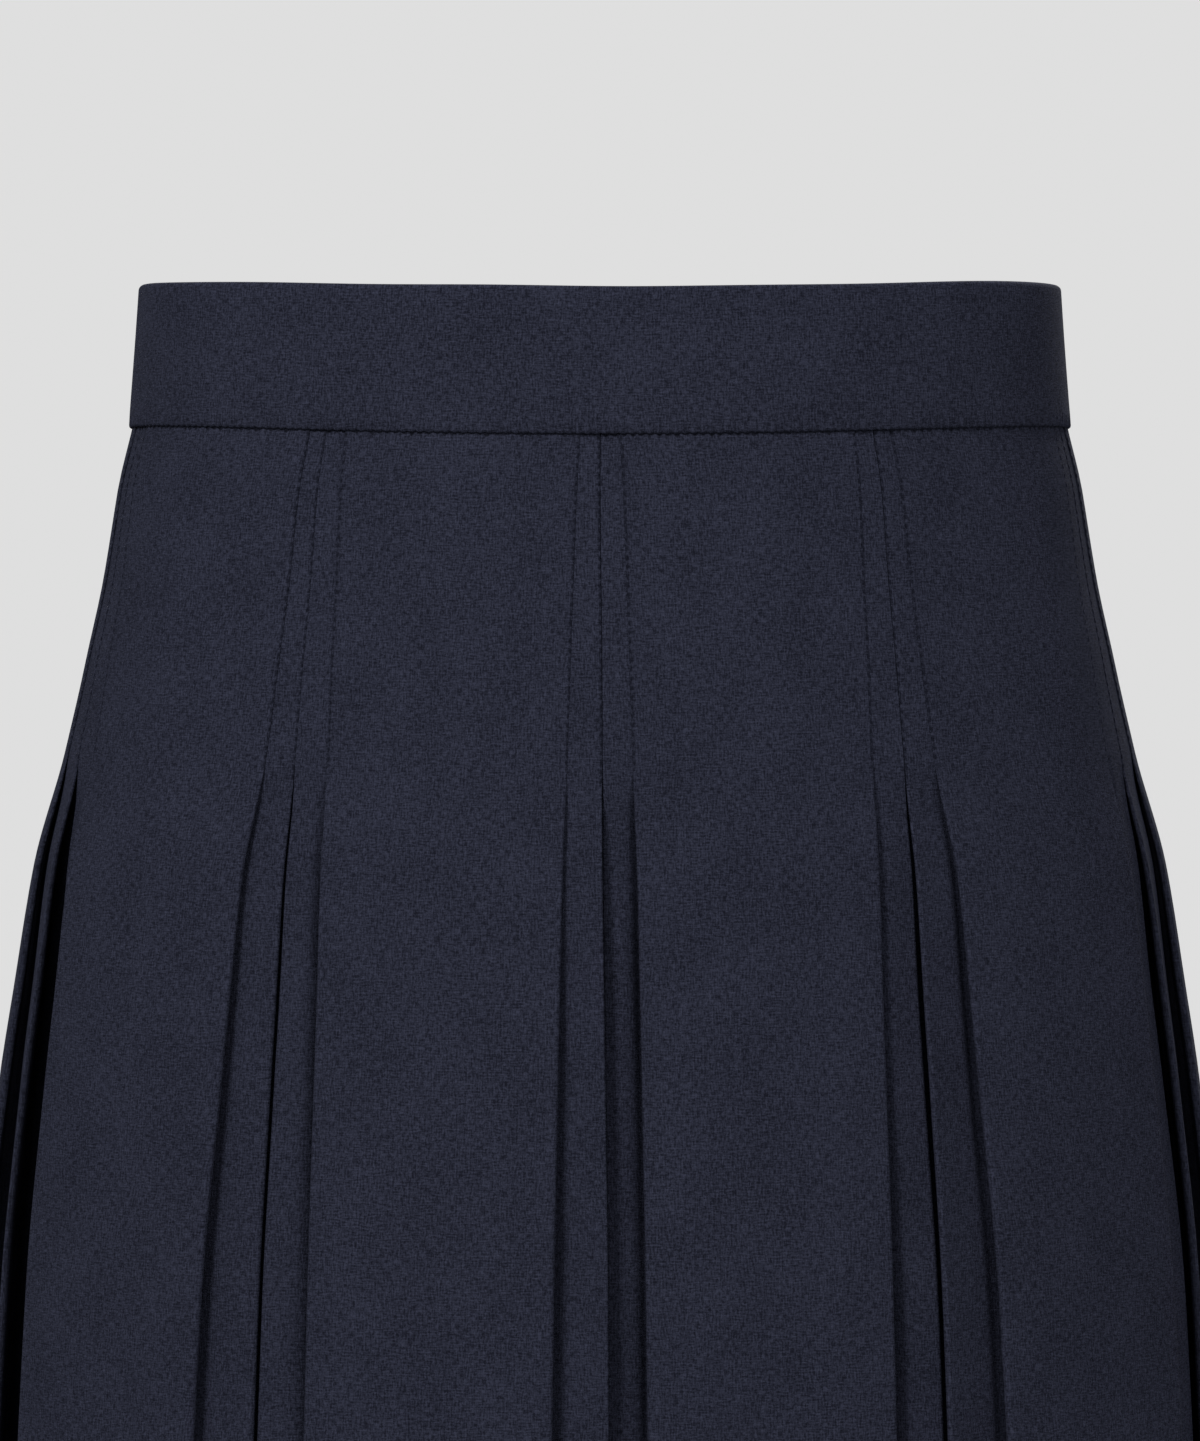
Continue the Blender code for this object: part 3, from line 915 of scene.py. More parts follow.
@dataclass
class Sewing:
    """Stitches as short lengths of thread that dip into the cloth at both ends."""

    cloth: PleatedCloth
    pitch: float = 2.5
    length: float = 1.5
    radius: float = 0.09
    first: float = 3.0
    sides: int = 6
    row_step: float = 1.5
    seam_clear: float = 0.8
    seam_depth: float = 0.05
    seam_drop: float = 0.14
    seam_points: int = 90

    def mesh_of(self, name: str, lines: Sequence[np.ndarray]) -> bpy.types.Object:
        """Stitches along lines.

        Args:
            name: the object's name.
            lines: for each line, rows of a running distance, a point on the surface and a
                direction out of it, in millimetres.

        Returns:
            One object with all the stitches.
        """
        shares = np.array([0.0, 0.14, 0.5, 0.86, 1.0])
        rises = np.array([-0.14, 0.03, 0.08, 0.03, -0.14])
        widths = np.array([0.55, 1.0, 1.0, 1.0, 0.55])
        turn = np.arange(self.sides) * math.pi / (self.sides / 2)
        rings: list[np.ndarray] = []
        for line in lines:
            for start in np.arange(line[0, 0], line[-1, 0] - self.length, self.pitch):
                at = start + shares * self.length
                middle = np.stack([np.interp(at, line[:, 0], line[:, k]) for k in (1, 2, 3)], 1)
                out = np.stack([np.interp(at, line[:, 0], line[:, k]) for k in (4, 5, 6)], 1)
                ahead = np.gradient(middle, axis=0)
                ahead /= np.linalg.norm(ahead, axis=1, keepdims=True)
                side = np.cross(ahead, out)
                middle = middle + out * rises[:, None]
                spokes = (
                    np.cos(turn)[None, :, None] * side[:, None]
                    + np.sin(turn)[None, :, None] * out[:, None]
                )
                rings.append(middle[:, None] + self.radius * widths[:, None, None] * spokes)
        points = np.stack(rings).reshape(-1, 3) * MM
        faces: list[tuple[int, ...]] = []
        ring = range(self.sides)
        last = self.sides * (len(shares) - 1)
        for base in range(0, len(points), last + self.sides):
            for start in range(base, base + last, self.sides):
                for j in ring:
                    low, high = start + j, start + (j + 1) % self.sides
                    faces.append((low, high, high + self.sides, low + self.sides))
            faces.append(tuple(base + j for j in reversed(ring)))
            faces.append(tuple(base + last + j for j in ring))
        mesh = bpy.data.meshes.new(name)
        mesh.from_pydata([tuple(point) for point in points], [], faces)
        made = bpy.data.objects.new(name, mesh)
        bpy.context.scene.collection.objects.link(made)
        activate(made)
        bpy.ops.object.mode_set(mode="EDIT")
        bpy.ops.mesh.select_all(action="SELECT")
        bpy.ops.mesh.normals_make_consistent(inside=False)
        bpy.ops.object.mode_set(mode="OBJECT")
        smooth(made, 70.0)
        return made

    def pleat_lines(self, groups: Iterable[int]) -> list[np.ndarray]:
        """The lines down the folds of some groups."""
        lines = []
        for number in groups:
            lines.append(self.pleat_line(number, -1.0, False))
            lines.append(self.pleat_line(number, 1.0, False))
            upper = 1.0 if GROUPS[number].over is Over.RIGHT else -1.0
            lines.append(self.pleat_line(number, upper, True))
        return lines

    def pleat_line(self, number: int, side: float, in_middle: bool) -> np.ndarray:
        """A line of stitches beside one fold.

        Args:
            number: the group's number.
            side: -1 for the group's left, 1 for its right.
            in_middle: whether the fold is the one on the middle line.

        Returns:
            Rows of fall, point and outward direction.
        """
        end = self.cloth.middle_release if in_middle else self.cloth.edge_release
        half = self.cloth.halves[self.cloth.is_upper(GROUPS[number], side)]
        on_line = np.flatnonzero(
            (half.column("ditch") == 0.0) & (half.column("layer") == (2.0 if in_middle else 0.0))
        )[0]
        rows = []
        for fall in np.arange(self.first, end, self.row_step):
            path = self.cloth.half_path(number, fall, side)
            along = np.array([self.cloth.middles(fall)[number] + side * path[0, on_line]])
            depth = path[1, on_line] - self.cloth.wall(fall) / 2
            place = self.cloth.hung(fall, along, depth)[0]
            rows.append([fall, *place, *Oval(fall).outward(along)[0]])
        return np.array(rows)

    def seam_lines(self) -> list[np.ndarray]:
        """The stitches in the seam under the band, a line for each panel."""
        oval = Oval(0.0)
        middles = self.cloth.middles(0.0)
        starts = [-oval.girth / 2] + [
            middle + SIZES[group.right].at(0.0) for group, middle in zip(GROUPS, middles)
        ]
        ends = [middle - SIZES[group.left].at(0.0) for group, middle in zip(GROUPS, middles)]
        lines = []
        for start, end in zip(starts, ends + [oval.girth / 2]):
            along = np.linspace(start + self.seam_clear, end - self.seam_clear, self.seam_points)
            points = oval.place(along, np.full_like(along, self.seam_depth))
            points[:, 2] -= self.seam_drop
            lines.append(np.column_stack([along, points, oval.outward(along)]))
        return lines

    def build(self) -> list[bpy.types.Object]:
        """Make all the stitches.

        Returns:
            The stitches of the left back, the front, the right back and the band.
        """
        return [
            self.mesh_of("stitches_back_left", self.pleat_lines((0, 1))),
            self.mesh_of("stitches_front", self.pleat_lines((2, 3, 4, 5, 6))),
            self.mesh_of("stitches_back_right", self.pleat_lines((7, 8))),
            self.mesh_of("stitches_band", self.seam_lines()),
        ]


@dataclass
class ZipTape:
    """The zip's tape and its coil, behind the centre back."""

    width: float = 22.0
    wall: float = 0.5
    solid_wall: float = 0.8
    slot: float = 1.3
    slot_opens: tuple[float, float] = (-36.0, -33.5)
    slot_closes: tuple[float, float] = (-26.5, -24.0)
    parting: float = 0.06
    parted_to: float = -9.5
    clear: float = 0.3
    band_leaves: float = 2.0
    panel_meets: float = 18.0
    top: float = -39.0
    bottom: float = 152.0
    coil_top: float = -24.4
    coil_wire: float = 0.17
    coil_pitch: float = 1.15
    coil_foot: float = 10.0
    coil_half_width: float = 1.55
    coil_half_depth: float = 0.5
    coil_clear: float = 0.55
    coil_points: int = 10
    stop_up: float = 9.0
    stop_behind: float = 0.8

    def place(self, fall: float, aside: np.ndarray, behind: float) -> np.ndarray:
        """Points on the tape.

        Args:
            fall: the fall of the row.
            aside: distances from the middle of the back, in +X.
            behind: distance behind the tape's middle.

        Returns:
            The points.
        """
        on_band = BAND_WALL - BAND_PROUD - SOLID_CLOTH / 2 + self.clear + self.solid_wall / 2
        on_panel = SOLID_CLOTH / 2 + self.clear + self.solid_wall / 2
        passed = (fall - self.band_leaves) / (self.panel_meets - self.band_leaves)
        depth = on_band + (on_panel - on_band) * min(max(passed, 0.0), 1.0)
        oval = Oval(fall)
        along = np.where(aside > 0, oval.girth / 2 - aside, -oval.girth / 2 - aside)
        return oval.place(along, np.full_like(along, depth + behind))

    def cross_places(self, fall: float) -> np.ndarray:
        """Places across the tape, whose halves part round the slider's neck."""
        spread = eased(*self.slot_opens, fall) * (1.0 - eased(*self.slot_closes, fall))
        edge = (self.parting + (self.slot - self.parting) * spread) / 2
        half = np.array([self.width / 2, 10.4, 8.0, 5.0, 3.0, edge])
        return np.concatenate([-half, half[::-1]])

    def tape(self) -> bpy.types.Object:
        """The woven tape, slotted round the slider's neck."""
        in_band = np.arange(self.top, self.band_leaves, 1.95)
        falls = np.concatenate([in_band, np.linspace(self.band_leaves, self.bottom, 40)])
        rows = [self.place(fall, self.cross_places(fall), 0.0) for fall in falls]
        aside = self.cross_places(0.0)
        middle = len(aside) // 2 - 1
        parted = [(r, middle) for r in range(len(falls) - 1) if falls[r] < self.parted_to]
        piece = sheet_object("zip_tape_cloth", np.stack(rows), aside, falls, parted)
        add_wall(piece, self.wall)
        smooth(piece, 40.0)
        return piece

    def stop_place(self) -> Vector:
        """Where the stop clamps the coil, in metres."""
        behind = self.wall / 2 + self.stop_behind
        return Vector(self.place(self.bottom - self.stop_up, np.array([0.0]), behind)[0] * MM)

    def coil(self) -> bpy.types.Object:
        """The two interlocked rows of the coil, on the tape's inner face."""
        turns = int((self.bottom - self.coil_foot - self.coil_top) / self.coil_pitch)
        points = []
        for step in range(turns * self.coil_points):
            turn = step / self.coil_points * 2 * math.pi
            fall = self.coil_top + step / self.coil_points * self.coil_pitch
            aside = np.array([self.coil_half_width * math.cos(turn)])
            out_of_tape = self.coil_clear + self.coil_half_depth * math.sin(turn)
            behind = self.wall / 2 + self.coil_wire + out_of_tape
            points.append(self.place(fall, aside, behind)[0] * MM)
        curve = bpy.data.curves.new("zip_coil", "CURVE")
        curve.dimensions = "3D"
        curve.bevel_depth = self.coil_wire * MM
        curve.bevel_resolution = 1
        curve.use_fill_caps = True
        spline = curve.splines.new("POLY")
        spline.points.add(len(points) - 1)
        for point, place in zip(spline.points, points):
            point.co = (*place, 1.0)
        drawn = bpy.data.objects.new("drawn coil", curve)
        bpy.context.scene.collection.objects.link(drawn)
        bpy.context.view_layer.update()
        state = drawn.evaluated_get(bpy.context.evaluated_depsgraph_get())
        mesh = bpy.data.meshes.new_from_object(state)
        mesh.name = "zip_coil"
        bpy.data.objects.remove(drawn)
        made = bpy.data.objects.new("zip_coil", mesh)
        bpy.context.scene.collection.objects.link(made)
        smooth(made, 80.0)
        return made


class Block:
    """A block of metal that is shaped in edit mode, in millimetres from the pull's pin."""

    def __init__(
        self, name: str, size: Sequence[float], middle: Sequence[float], pin: Vector
    ) -> None:
        """Add the block.

        Args:
            name: the object's name.
            size: its sizes along X, Y and Z.
            middle: its middle, from the pin.
            pin: the pin's place in metres.
        """
        self.pin = pin
        if bpy.context.mode != "OBJECT":
            bpy.ops.object.mode_set(mode="OBJECT")
        bpy.ops.object.select_all(action="DESELECT")
        bpy.ops.mesh.primitive_cube_add(size=1.0, location=pin + Vector(middle) * MM)
        self.piece = bpy.context.object
        self.piece.name = name
        self.piece.data.name = name
        self.piece.scale = [length * MM for length in size]
        bpy.ops.object.transform_apply(location=True, rotation=True, scale=True)

    def pick(self, kind: str, test: Callable[[Vector, Vector], bool]) -> None:
        """Select in edit mode.

        Args:
            kind: VERT, EDGE or FACE.
            test: whether a place with its normal, or an edge's direction, is selected.
        """
        bpy.context.view_layer.objects.active = self.piece
        bpy.ops.object.mode_set(mode="EDIT")
        bpy.ops.mesh.select_mode(type=kind)
        bpy.ops.mesh.select_all(action="DESELECT")
        bpy.ops.object.mode_set(mode="OBJECT")
        mesh = self.piece.data
        if kind == "FACE":
            found = [(face, face.center, face.normal) for face in mesh.polygons]
        elif kind == "VERT":
            found = [(corner, corner.co, corner.normal) for corner in mesh.vertices]
        else:
            found = []
            for edge in mesh.edges:
                start, end = (mesh.vertices[index].co for index in edge.vertices)
                found.append((edge, (start + end) / 2, (end - start).normalized()))
        for item, place, direction in found:
            item.select = bool(test((place - self.pin) / MM, direction))
        bpy.ops.object.mode_set(mode="EDIT")

    def widen(self, share: float) -> None:
        """Scale the selection across, about the middle."""
        bpy.ops.transform.resize(value=(share, 1.0, 1.0), center_override=tuple(self.pin))

    def bevel(self, width: float, segments: int) -> None:
        """Bevel the selected edges."""
        bpy.ops.mesh.bevel(offset=width * MM, segments=segments, affect="EDGES")

    def inset(self, rim: float, sunk: float) -> None:
        """Inset the selected faces and sink them."""
        bpy.ops.mesh.inset(thickness=rim * MM, depth=-sunk * MM)

    def extrude(self, up: float) -> None:
        """Draw the selected faces out along Z."""
        bpy.ops.mesh.extrude_region_move(TRANSFORM_OT_translate={"value": (0.0, 0.0, up * MM)})

    def split(self, aside: float) -> None:
        """Cut the selection at a distance to one side of the middle."""
        bpy.ops.mesh.bisect(
            plane_co=self.pin + Vector((aside * MM, 0.0, 0.0)), plane_no=(1.0, 0.0, 0.0)
        )

    def join(self, other: bpy.types.Object, operation: str = "UNION") -> None:
        """Join or cut with another piece, which is used up."""
        bpy.ops.object.mode_set(mode="OBJECT")
        step = self.piece.modifiers.new("Joined", "BOOLEAN")
        step.operation = operation
        step.object = other
        step.solver = "EXACT"
        apply_modifiers(self.piece)
        bpy.data.objects.remove(other)

    def rod(self, radius: float, length: float) -> bpy.types.Object:
        """A rod across the piece, round the pin's axis."""
        if bpy.context.mode != "OBJECT":
            bpy.ops.object.mode_set(mode="OBJECT")
        bpy.ops.object.select_all(action="DESELECT")
        bpy.ops.mesh.primitive_cylinder_add(
            vertices=28,
            radius=radius * MM,
            depth=length * MM,
            location=self.pin,
            rotation=(0.0, math.pi / 2, 0.0),
        )
        made = bpy.context.object
        bpy.ops.object.transform_apply(location=True, rotation=True, scale=True)
        return made

    def finish_edges(self, width: float) -> bpy.types.Object:
        """Break all sharp edges and shade the piece.

        Args:
            width: the width of the broken edge.

        Returns:
            The finished piece.
        """
        bpy.context.view_layer.objects.active = self.piece
        bpy.ops.object.mode_set(mode="OBJECT")
        step = self.piece.modifiers.new("Edges", "BEVEL")
        step.width = width * MM
        step.segments = 2
        step.limit_method = "ANGLE"
        step.angle_limit = math.radians(34.0)
        step.harden_normals = False
        apply_modifiers(self.piece)
        smooth(self.piece, 40.0)
        return self.piece


@dataclass
class ZipSlider:
    """The slider with its neck, the pull on its pin and the stop at the coil's foot."""

    pin: Vector
    broken_edge: float = 0.14
    small_edge: float = 0.12
    body: tuple[float, float, float] = (9.0, 2.4, 12.0)
    foot_share: float = 0.74
    shoulder_round: float = 2.6
    foot_round: float = 0.8
    mouths_apart: float = 1.1
    mouth_rim: float = 0.28
    mouth_depth: float = 3.4
    foot_rim: float = 0.5
    foot_depth: float = 5.5
    face_rim: float = 0.9
    face_sunk: float = 0.18
    neck_wall: float = 0.9
    neck_height: float = 4.0
    eye: float = 0.85
    eye_cut: float = 3.0
    pull_wall: float = 1.2
    pull_top: float = 4.6
    pull_foot: float = 7.0
    pull_length: float = 22.0
    pull_crotch: float = 3.2
    pull_foot_round: float = 0.46
    pull_rim: float = 0.75
    pull_slope: float = 0.25
    pull_sunk: float = 0.22
    prong_gap: float = 0.8
    prong_reach: float = 1.3
    prong_round: float = 0.5
    pin_radius: float = 0.5
    pin_short: float = 0.6
    stop_body: tuple[float, float, float] = (4.4, 1.5, 2.4)
    stop_rim: float = 0.35
    stop_raised: float = 0.15
    stop_round: float = 0.5

    def slider(self, inner: float) -> bpy.types.Object:
        """The hollow body with two mouths above and one below, and the neck.

        Args:
            inner: the place of the body's inner face, from the pin along Y.

        Returns:
            The slider.
        """
        wide, deep, high = self.body
        middle = inner + deep / 2
        block = Block("slider_metal", self.body, (0.0, middle, 0.0), self.pin)
        block.pick("FACE", lambda place, out: out.z < -0.9)
        block.widen(self.foot_share)
        block.pick("EDGE", lambda place, way: abs(way.y) > 0.9 and place.z > 0)
        block.bevel(self.shoulder_round, 5)
        block.pick("EDGE", lambda place, way: abs(way.y) > 0.9 and place.z < 1.0 - high / 2)
        block.bevel(self.foot_round, 3)
        block.pick("FACE", lambda place, out: out.z > 0.99 and abs(place.x) < wide)
        apart = self.mouths_apart
        block.split(-apart)
        block.pick("FACE", lambda place, out: out.z > 0.99 and place.x > -apart)
        block.split(apart)
        block.pick("FACE", lambda place, out: out.z > 0.99 and abs(place.x) > apart)
        bpy.ops.mesh.inset(thickness=self.mouth_rim * MM, use_individual=True)
        block.extrude(-self.mouth_depth)
        block.pick("FACE", lambda place, out: out.z < -0.99 and place.z < 0.5 - high / 2)
        block.inset(self.foot_rim, 0.0)
        block.extrude(self.foot_depth)
        block.pick("FACE", lambda place, out: out.y < -0.99 and place.y < inner + 0.1)
        block.inset(self.face_rim, self.face_sunk)
        reach = -middle
        neck = (self.neck_wall, reach, self.neck_height)
        shank = Block("shank", neck, (0.0, -reach / 2, 0.0), self.pin)
        block.join(shank.piece)
        block.join(block.rod(self.neck_height / 2, self.neck_wall))
        block.join(block.rod(self.eye, self.eye_cut), "DIFFERENCE")
        return block.finish_edges(self.broken_edge)

    def pull(self) -> bpy.types.Object:
        """The forked tab with its sunk face, round foot and pin.

        Returns:
            The pull.
        """
        tall = self.pull_length - self.pull_crotch
        block = Block(
            "pull_metal",
            (self.pull_top, self.pull_wall, tall),
            (0.0, 0.0, -self.pull_crotch - tall / 2),
            self.pin,
        )
        block.pick("FACE", lambda place, out: out.z < -0.9)
        block.widen(self.pull_foot / self.pull_top)
        foot = 1.0 - self.pull_length
        block.pick("EDGE", lambda place, way: abs(way.y) > 0.9 and place.z < foot)
        block.bevel(self.pull_foot * self.pull_foot_round, 10)
        block.pick("FACE", lambda place, out: abs(out.y) > 0.99)
        bpy.ops.mesh.inset(thickness=self.pull_rim * MM, depth=0.0, use_individual=True)
        block.inset(self.pull_slope, self.pull_sunk)
        top = -self.pull_crotch - 0.05
        block.pick("FACE", lambda place, out: out.z > 0.99 and place.z > top)
        gap = self.prong_gap
        block.split(-gap)
        block.pick("FACE", lambda place, out: out.z > 0.99 and place.x > -gap)
        block.split(gap)
        block.pick(
            "FACE", lambda place, out: out.z > 0.99 and place.z > top and abs(place.x) > gap
        )
        block.extrude(self.pull_crotch + self.prong_reach)
        tip = self.prong_reach - 0.1
        block.pick("EDGE", lambda place, way: abs(way.x) > 0.9 and place.z > tip)
        block.bevel(self.prong_round, 4)
        block.join(block.rod(self.pin_radius, self.pull_top - self.pin_short))
        return block.finish_edges(self.small_edge)

    def stop(self, place: Vector) -> bpy.types.Object:
        """The clamp round the foot of the coil.

        Args:
            place: its middle, in metres.

        Returns:
            The stop.
        """
        block = Block("stop_metal", self.stop_body, (0.0, 0.0, 0.0), place)
        block.pick("FACE", lambda at, out: out.y < -0.99)
        block.inset(self.stop_rim, -self.stop_raised)
        block.pick("EDGE", lambda at, way: abs(way.y) > 0.9 and abs(at.x) > 2.0)
        block.bevel(self.stop_round, 3)
        return block.finish_edges(self.small_edge)


Amount = Union["Shade", float]
Colour = tuple[float, float, float, float]


class Shade:
    """A socket of a shader that takes part in arithmetic."""

    def __init__(self, finish: "Finish", socket: bpy.types.NodeSocket) -> None:
        """Wrap a socket.

        Args:
            finish: the finish whose nodes are being laid.
            socket: the output to wrap.
        """
        self.finish = finish
        self.socket = socket

    def _with(self, operation: str, first: Amount, second: Amount) -> "Shade":
        """A Math node on two values."""
        return self.finish.node("ShaderNodeMath", {"operation": operation}, {0: first, 1: second})

    def __add__(self, other: Amount) -> "Shade":
        """Sum."""
        return self._with("ADD", self, other)

    def __radd__(self, other: Amount) -> "Shade":
        """Sum, from the right."""
        return self._with("ADD", other, self)

    def __sub__(self, other: Amount) -> "Shade":
        """Difference."""
        return self._with("SUBTRACT", self, other)

    def __rsub__(self, other: Amount) -> "Shade":
        """Difference, from the right."""
        return self._with("SUBTRACT", other, self)

    def __mul__(self, other: Amount) -> "Shade":
        """Product."""
        return self._with("MULTIPLY", self, other)

    def __rmul__(self, other: Amount) -> "Shade":
        """Product, from the right."""
        return self._with("MULTIPLY", other, self)

    def wave(self) -> "Shade":
        """Sine."""
        return self.finish.node("ShaderNodeMath", {"operation": "SINE"}, {0: self})

    def larger(self, other: Amount) -> "Shade":
        """The larger of two."""
        return self._with("MAXIMUM", self, other)

    def power(self, other: Amount) -> "Shade":
        """Power."""
        return self._with("POWER", self, other)

    def bell(self, width: float) -> "Shade":
        """A bell curve of this value, 1 at zero."""
        square = self * self * (-1.0 / (width * width))
        return self.finish.node("ShaderNodeMath", {"operation": "EXPONENT"}, {0: square})


class Finish:
    """A material whose nodes are laid by code."""

    def __init__(self, name: str) -> None:
        """Start from a bare Principled shader.

        Args:
            name: the material's name.
        """
        self.material = bpy.data.materials.new(name)
        self.material.use_nodes = True
        self.tree = self.material.node_tree
        self.shader = self.tree.nodes["Principled BSDF"]

    def node(self, kind: str, settings: dict, inputs: dict, output: Union[int, str] = 0) -> Shade:
        """Add a node.

        Args:
            kind: the node's type.
            settings: its settings, set first.
            inputs: values or links of its sockets, by index or name.
            output: the output to return.

        Returns:
            The output, wrapped.
        """
        made = self.tree.nodes.new(kind)
        for key, value in settings.items():
            setattr(made, key, value)
        for key, value in inputs.items():
            if isinstance(value, Shade):
                self.tree.links.new(value.socket, made.inputs[key])
            else:
                made.inputs[key].default_value = value
        return Shade(self, made.outputs[output])

    def on_object(self) -> Shade:
        """The place on the object, in metres."""
        return self.node("ShaderNodeTexCoord", {}, {}, "Object")

    def on_cut(self) -> tuple[Shade, Shade, Shade]:
        """The place on the cut cloth in millimetres, and its parts along and down the cut."""
        cut = self.node("ShaderNodeUVMap", {"uv_map": "Cut"}, {})
        across = self.node("ShaderNodeSeparateXYZ", {}, {0: cut})
        return cut, across, Shade(self, across.socket.node.outputs[1])

    def noise(self, place: Shade, scale: float, detail: float) -> Shade:
        """Noise from 0 to 1."""
        return self.node(
            "ShaderNodeTexNoise", {}, {"Vector": place, "Scale": scale, "Detail": detail}
        )

    def mix(self, share: Amount, low: Union[Shade, Colour], high: Union[Shade, Colour]) -> Shade:
        """The colour that lies between two by a share, held within 0 and 1."""
        settings = {"data_type": "RGBA", "clamp_factor": True}
        return self.node("ShaderNodeMix", settings, {0: share, 6: low, 7: high}, 2)

    def bump(self, strength: float, distance: float, height: Shade) -> Shade:
        """A normal that follows a height."""
        return self.node(
            "ShaderNodeBump", {}, {"Strength": strength, "Distance": distance, "Height": height}
        )

    def surface(self, **inputs: Union[Shade, float, tuple]) -> bpy.types.Material:
        """Set the Principled shader's sockets, spaces in names written as underscores.

        Returns:
            The material.
        """
        for key, value in inputs.items():
            socket = self.shader.inputs[key.replace("_", " ")]
            if isinstance(value, Shade):
                self.tree.links.new(value.socket, socket)
            else:
                socket.default_value = value
        return self.material


@dataclass(frozen=True)
class WorstedWool:
    """Fine melange worsted: dark yarns, lighter fibres, a tight weave, a little nap and, if sewn,
    painted shade.
    """

    name: str
    dark: Colour = (0.0034, 0.0037, 0.0064, 1.0)
    light: Colour = (0.0150, 0.0164, 0.0267, 1.0)
    # Painted shade: the next colour darkens the stitch ditches, the stitches' dents and the seam
    # line under the band.
    shadow: Colour = (0.0012, 0.0013, 0.0022, 1.0)
    contrast: float = 4.6
    level: float = 0.42
    clouding: float = 0.35
    weave_tone: float = 0.25
    # How strongly painted shade darkens the ditches and the dents.
    groove_shade: float = 0.14
    dent_shade: float = 0.62
    thread: float = 0.40
    bump: float = 0.00016
    stitch_pitch: float = 2.5
    first_stitch: float = 3.0
    stitch_length: float = 1.5
    sewn: bool = True

    def build(self) -> bpy.types.Material:
        """Lay the nodes.

        Returns:
            The material.
        """
        finish = Finish(self.name)
        cut, across, down = finish.on_cut()
        warp_streak = self.streak(finish, cut, (2.2, 0.42, 1.0), 3.0)
        weft_streak = self.streak(finish, cut, (0.42, 2.3, 1.0), 7.0)
        fleck = self.streak(finish, cut, (1.9, 1.8, 1.0), 11.0)
        cloud = self.streak(finish, cut, (0.05, 0.04, 1.0), 5.0)
        turn = 2 * math.pi / self.thread
        warp = (across * turn).wave() * 0.5 + 0.5
        weft = (down * turn).wave() * 0.5 + 0.5
        weave = warp * weft
        melange = warp_streak * 0.36 + weft_streak * 0.34 + fleck * 0.30
        tone = (melange - 0.5) * self.contrast + self.level
        tone = tone + (cloud - 0.5) * self.clouding + (weave - 0.25) * self.weave_tone
        colour = finish.mix(tone, self.dark, self.light)
        relief = weave * 0.6 + melange * 1.4
        if self.sewn:
            groove, dent = self.stitching(finish, across, down)
            relief = relief - groove * 0.8 - dent * 1.6
            # Painted shade: the colour is drawn towards the dark shade colour in the stitch
            # ditches, in each stitch's dent and along the seam line under the band.
            painted_shade = groove * self.groove_shade + dent * self.dent_shade
            colour = finish.mix(painted_shade, colour, self.shadow)
        normal = finish.bump(0.8, self.bump, relief)
        return finish.surface(
            Base_Color=colour,
            Roughness=1.0,
            Specular_IOR_Level=0.02,
            Sheen_Weight=0.008,
            Sheen_Roughness=0.5,
            Sheen_Tint=(0.45, 0.50, 0.80, 1.0),
            Normal=normal,
        )

    def stitching(self, finish: Finish, across: Shade, down: Shade) -> tuple[Shade, Shade]:
        """The ditch along a line of stitches, the dents that each stitch presses into it and the
        seam line under the band.

        Args:
            finish: the finish being laid.
            across: the place along the cut, in millimetres.
            down: the place down the cut.

        Returns:
            How much of a ditch and of a dent there is, from 0 to 1, each also the share of painted
            shade.
        """
        away = finish.node("ShaderNodeAttribute", {"attribute_name": "Ditch"}, {}, "Fac")
        turn = 2 * math.pi / self.stitch_pitch
        middle = self.first_stitch + self.stitch_length / 2
        beat = ((down - (middle - self.stitch_pitch / 4)) * turn).wave() * 0.5 + 0.5
        groove = away.bell(0.26)
        dash = away.bell(0.25) * beat.power(1.6)
        seam_beat = (across * turn).wave() * 0.5 + 0.5
        uneven = (across * 0.83).wave() * (across * 0.29).wave() * 0.45 + 0.5
        # The seam line under the band: a scalloped dark line of painted shadow where the band's
        # foot shades the cloth, also sunk in the bump.
        seam = (down - 0.1 - seam_beat * uneven).larger(0.0).bell(0.3)
        return groove.larger(seam), dash.larger(seam)

    def streak(self, finish: Finish, cut: Shade, scale: tuple, seed: float) -> Shade:
        """Noise drawn out along one set of yarns.

        Args:
            finish: the finish being laid.
            cut: the cut's place in millimetres.
            scale: features to a millimetre each way.
            seed: moves the pattern.

        Returns:
            The noise, from 0 to 1.
        """
        placed = finish.node(
            "ShaderNodeMapping", {}, {0: cut, "Location": (seed, seed * 1.7, seed), "Scale": scale}
        )
        return finish.node(
            "ShaderNodeTexNoise",
            {"noise_dimensions": "2D"},
            {"Vector": placed, "Scale": 1.0, "Detail": 3.0, "Roughness": 0.62},
        )


@dataclass(frozen=True)
class Thread:
    """Matt sewing thread, its twist as fine bumps."""

    name: str
    colour: Colour = (0.0030, 0.0033, 0.0062, 1.0)
    lighter: float = 2.1

    def build(self) -> bpy.types.Material:
        """Lay the nodes."""
        finish = Finish(self.name)
        twist = finish.noise(finish.on_object(), 5200.0, 2.0)
        lit = (*(part * self.lighter for part in self.colour[:3]), 1.0)
        shade = finish.mix(twist, self.colour, lit)
        bump = finish.bump(0.5, 0.00005, twist)
        return finish.surface(
            Base_Color=shade, Roughness=0.9, Specular_IOR_Level=0.03, Normal=bump
        )


@dataclass(frozen=True)
class Enamel:
    """Navy enamel over cast metal, worn a little brighter in places."""

    name: str
    colour: Colour = (0.010, 0.012, 0.022, 1.0)
    worn: Colour = (0.030, 0.032, 0.045, 1.0)

    def build(self) -> bpy.types.Material:
        """Lay the nodes."""
        finish = Finish(self.name)
        place = finish.on_object()
        cloud = finish.noise(place, 420.0, 4.0)
        grain = finish.noise(place, 2600.0, 2.0)
        shade = finish.mix(cloud, self.colour, self.worn)
        bump = finish.bump(0.25, 0.00004, grain)
        return finish.surface(
            Base_Color=shade,
            Roughness=cloud * 0.2 + 0.24,
            Metallic=0.65,
            Coat_Weight=0.4,
            Normal=bump,
        )


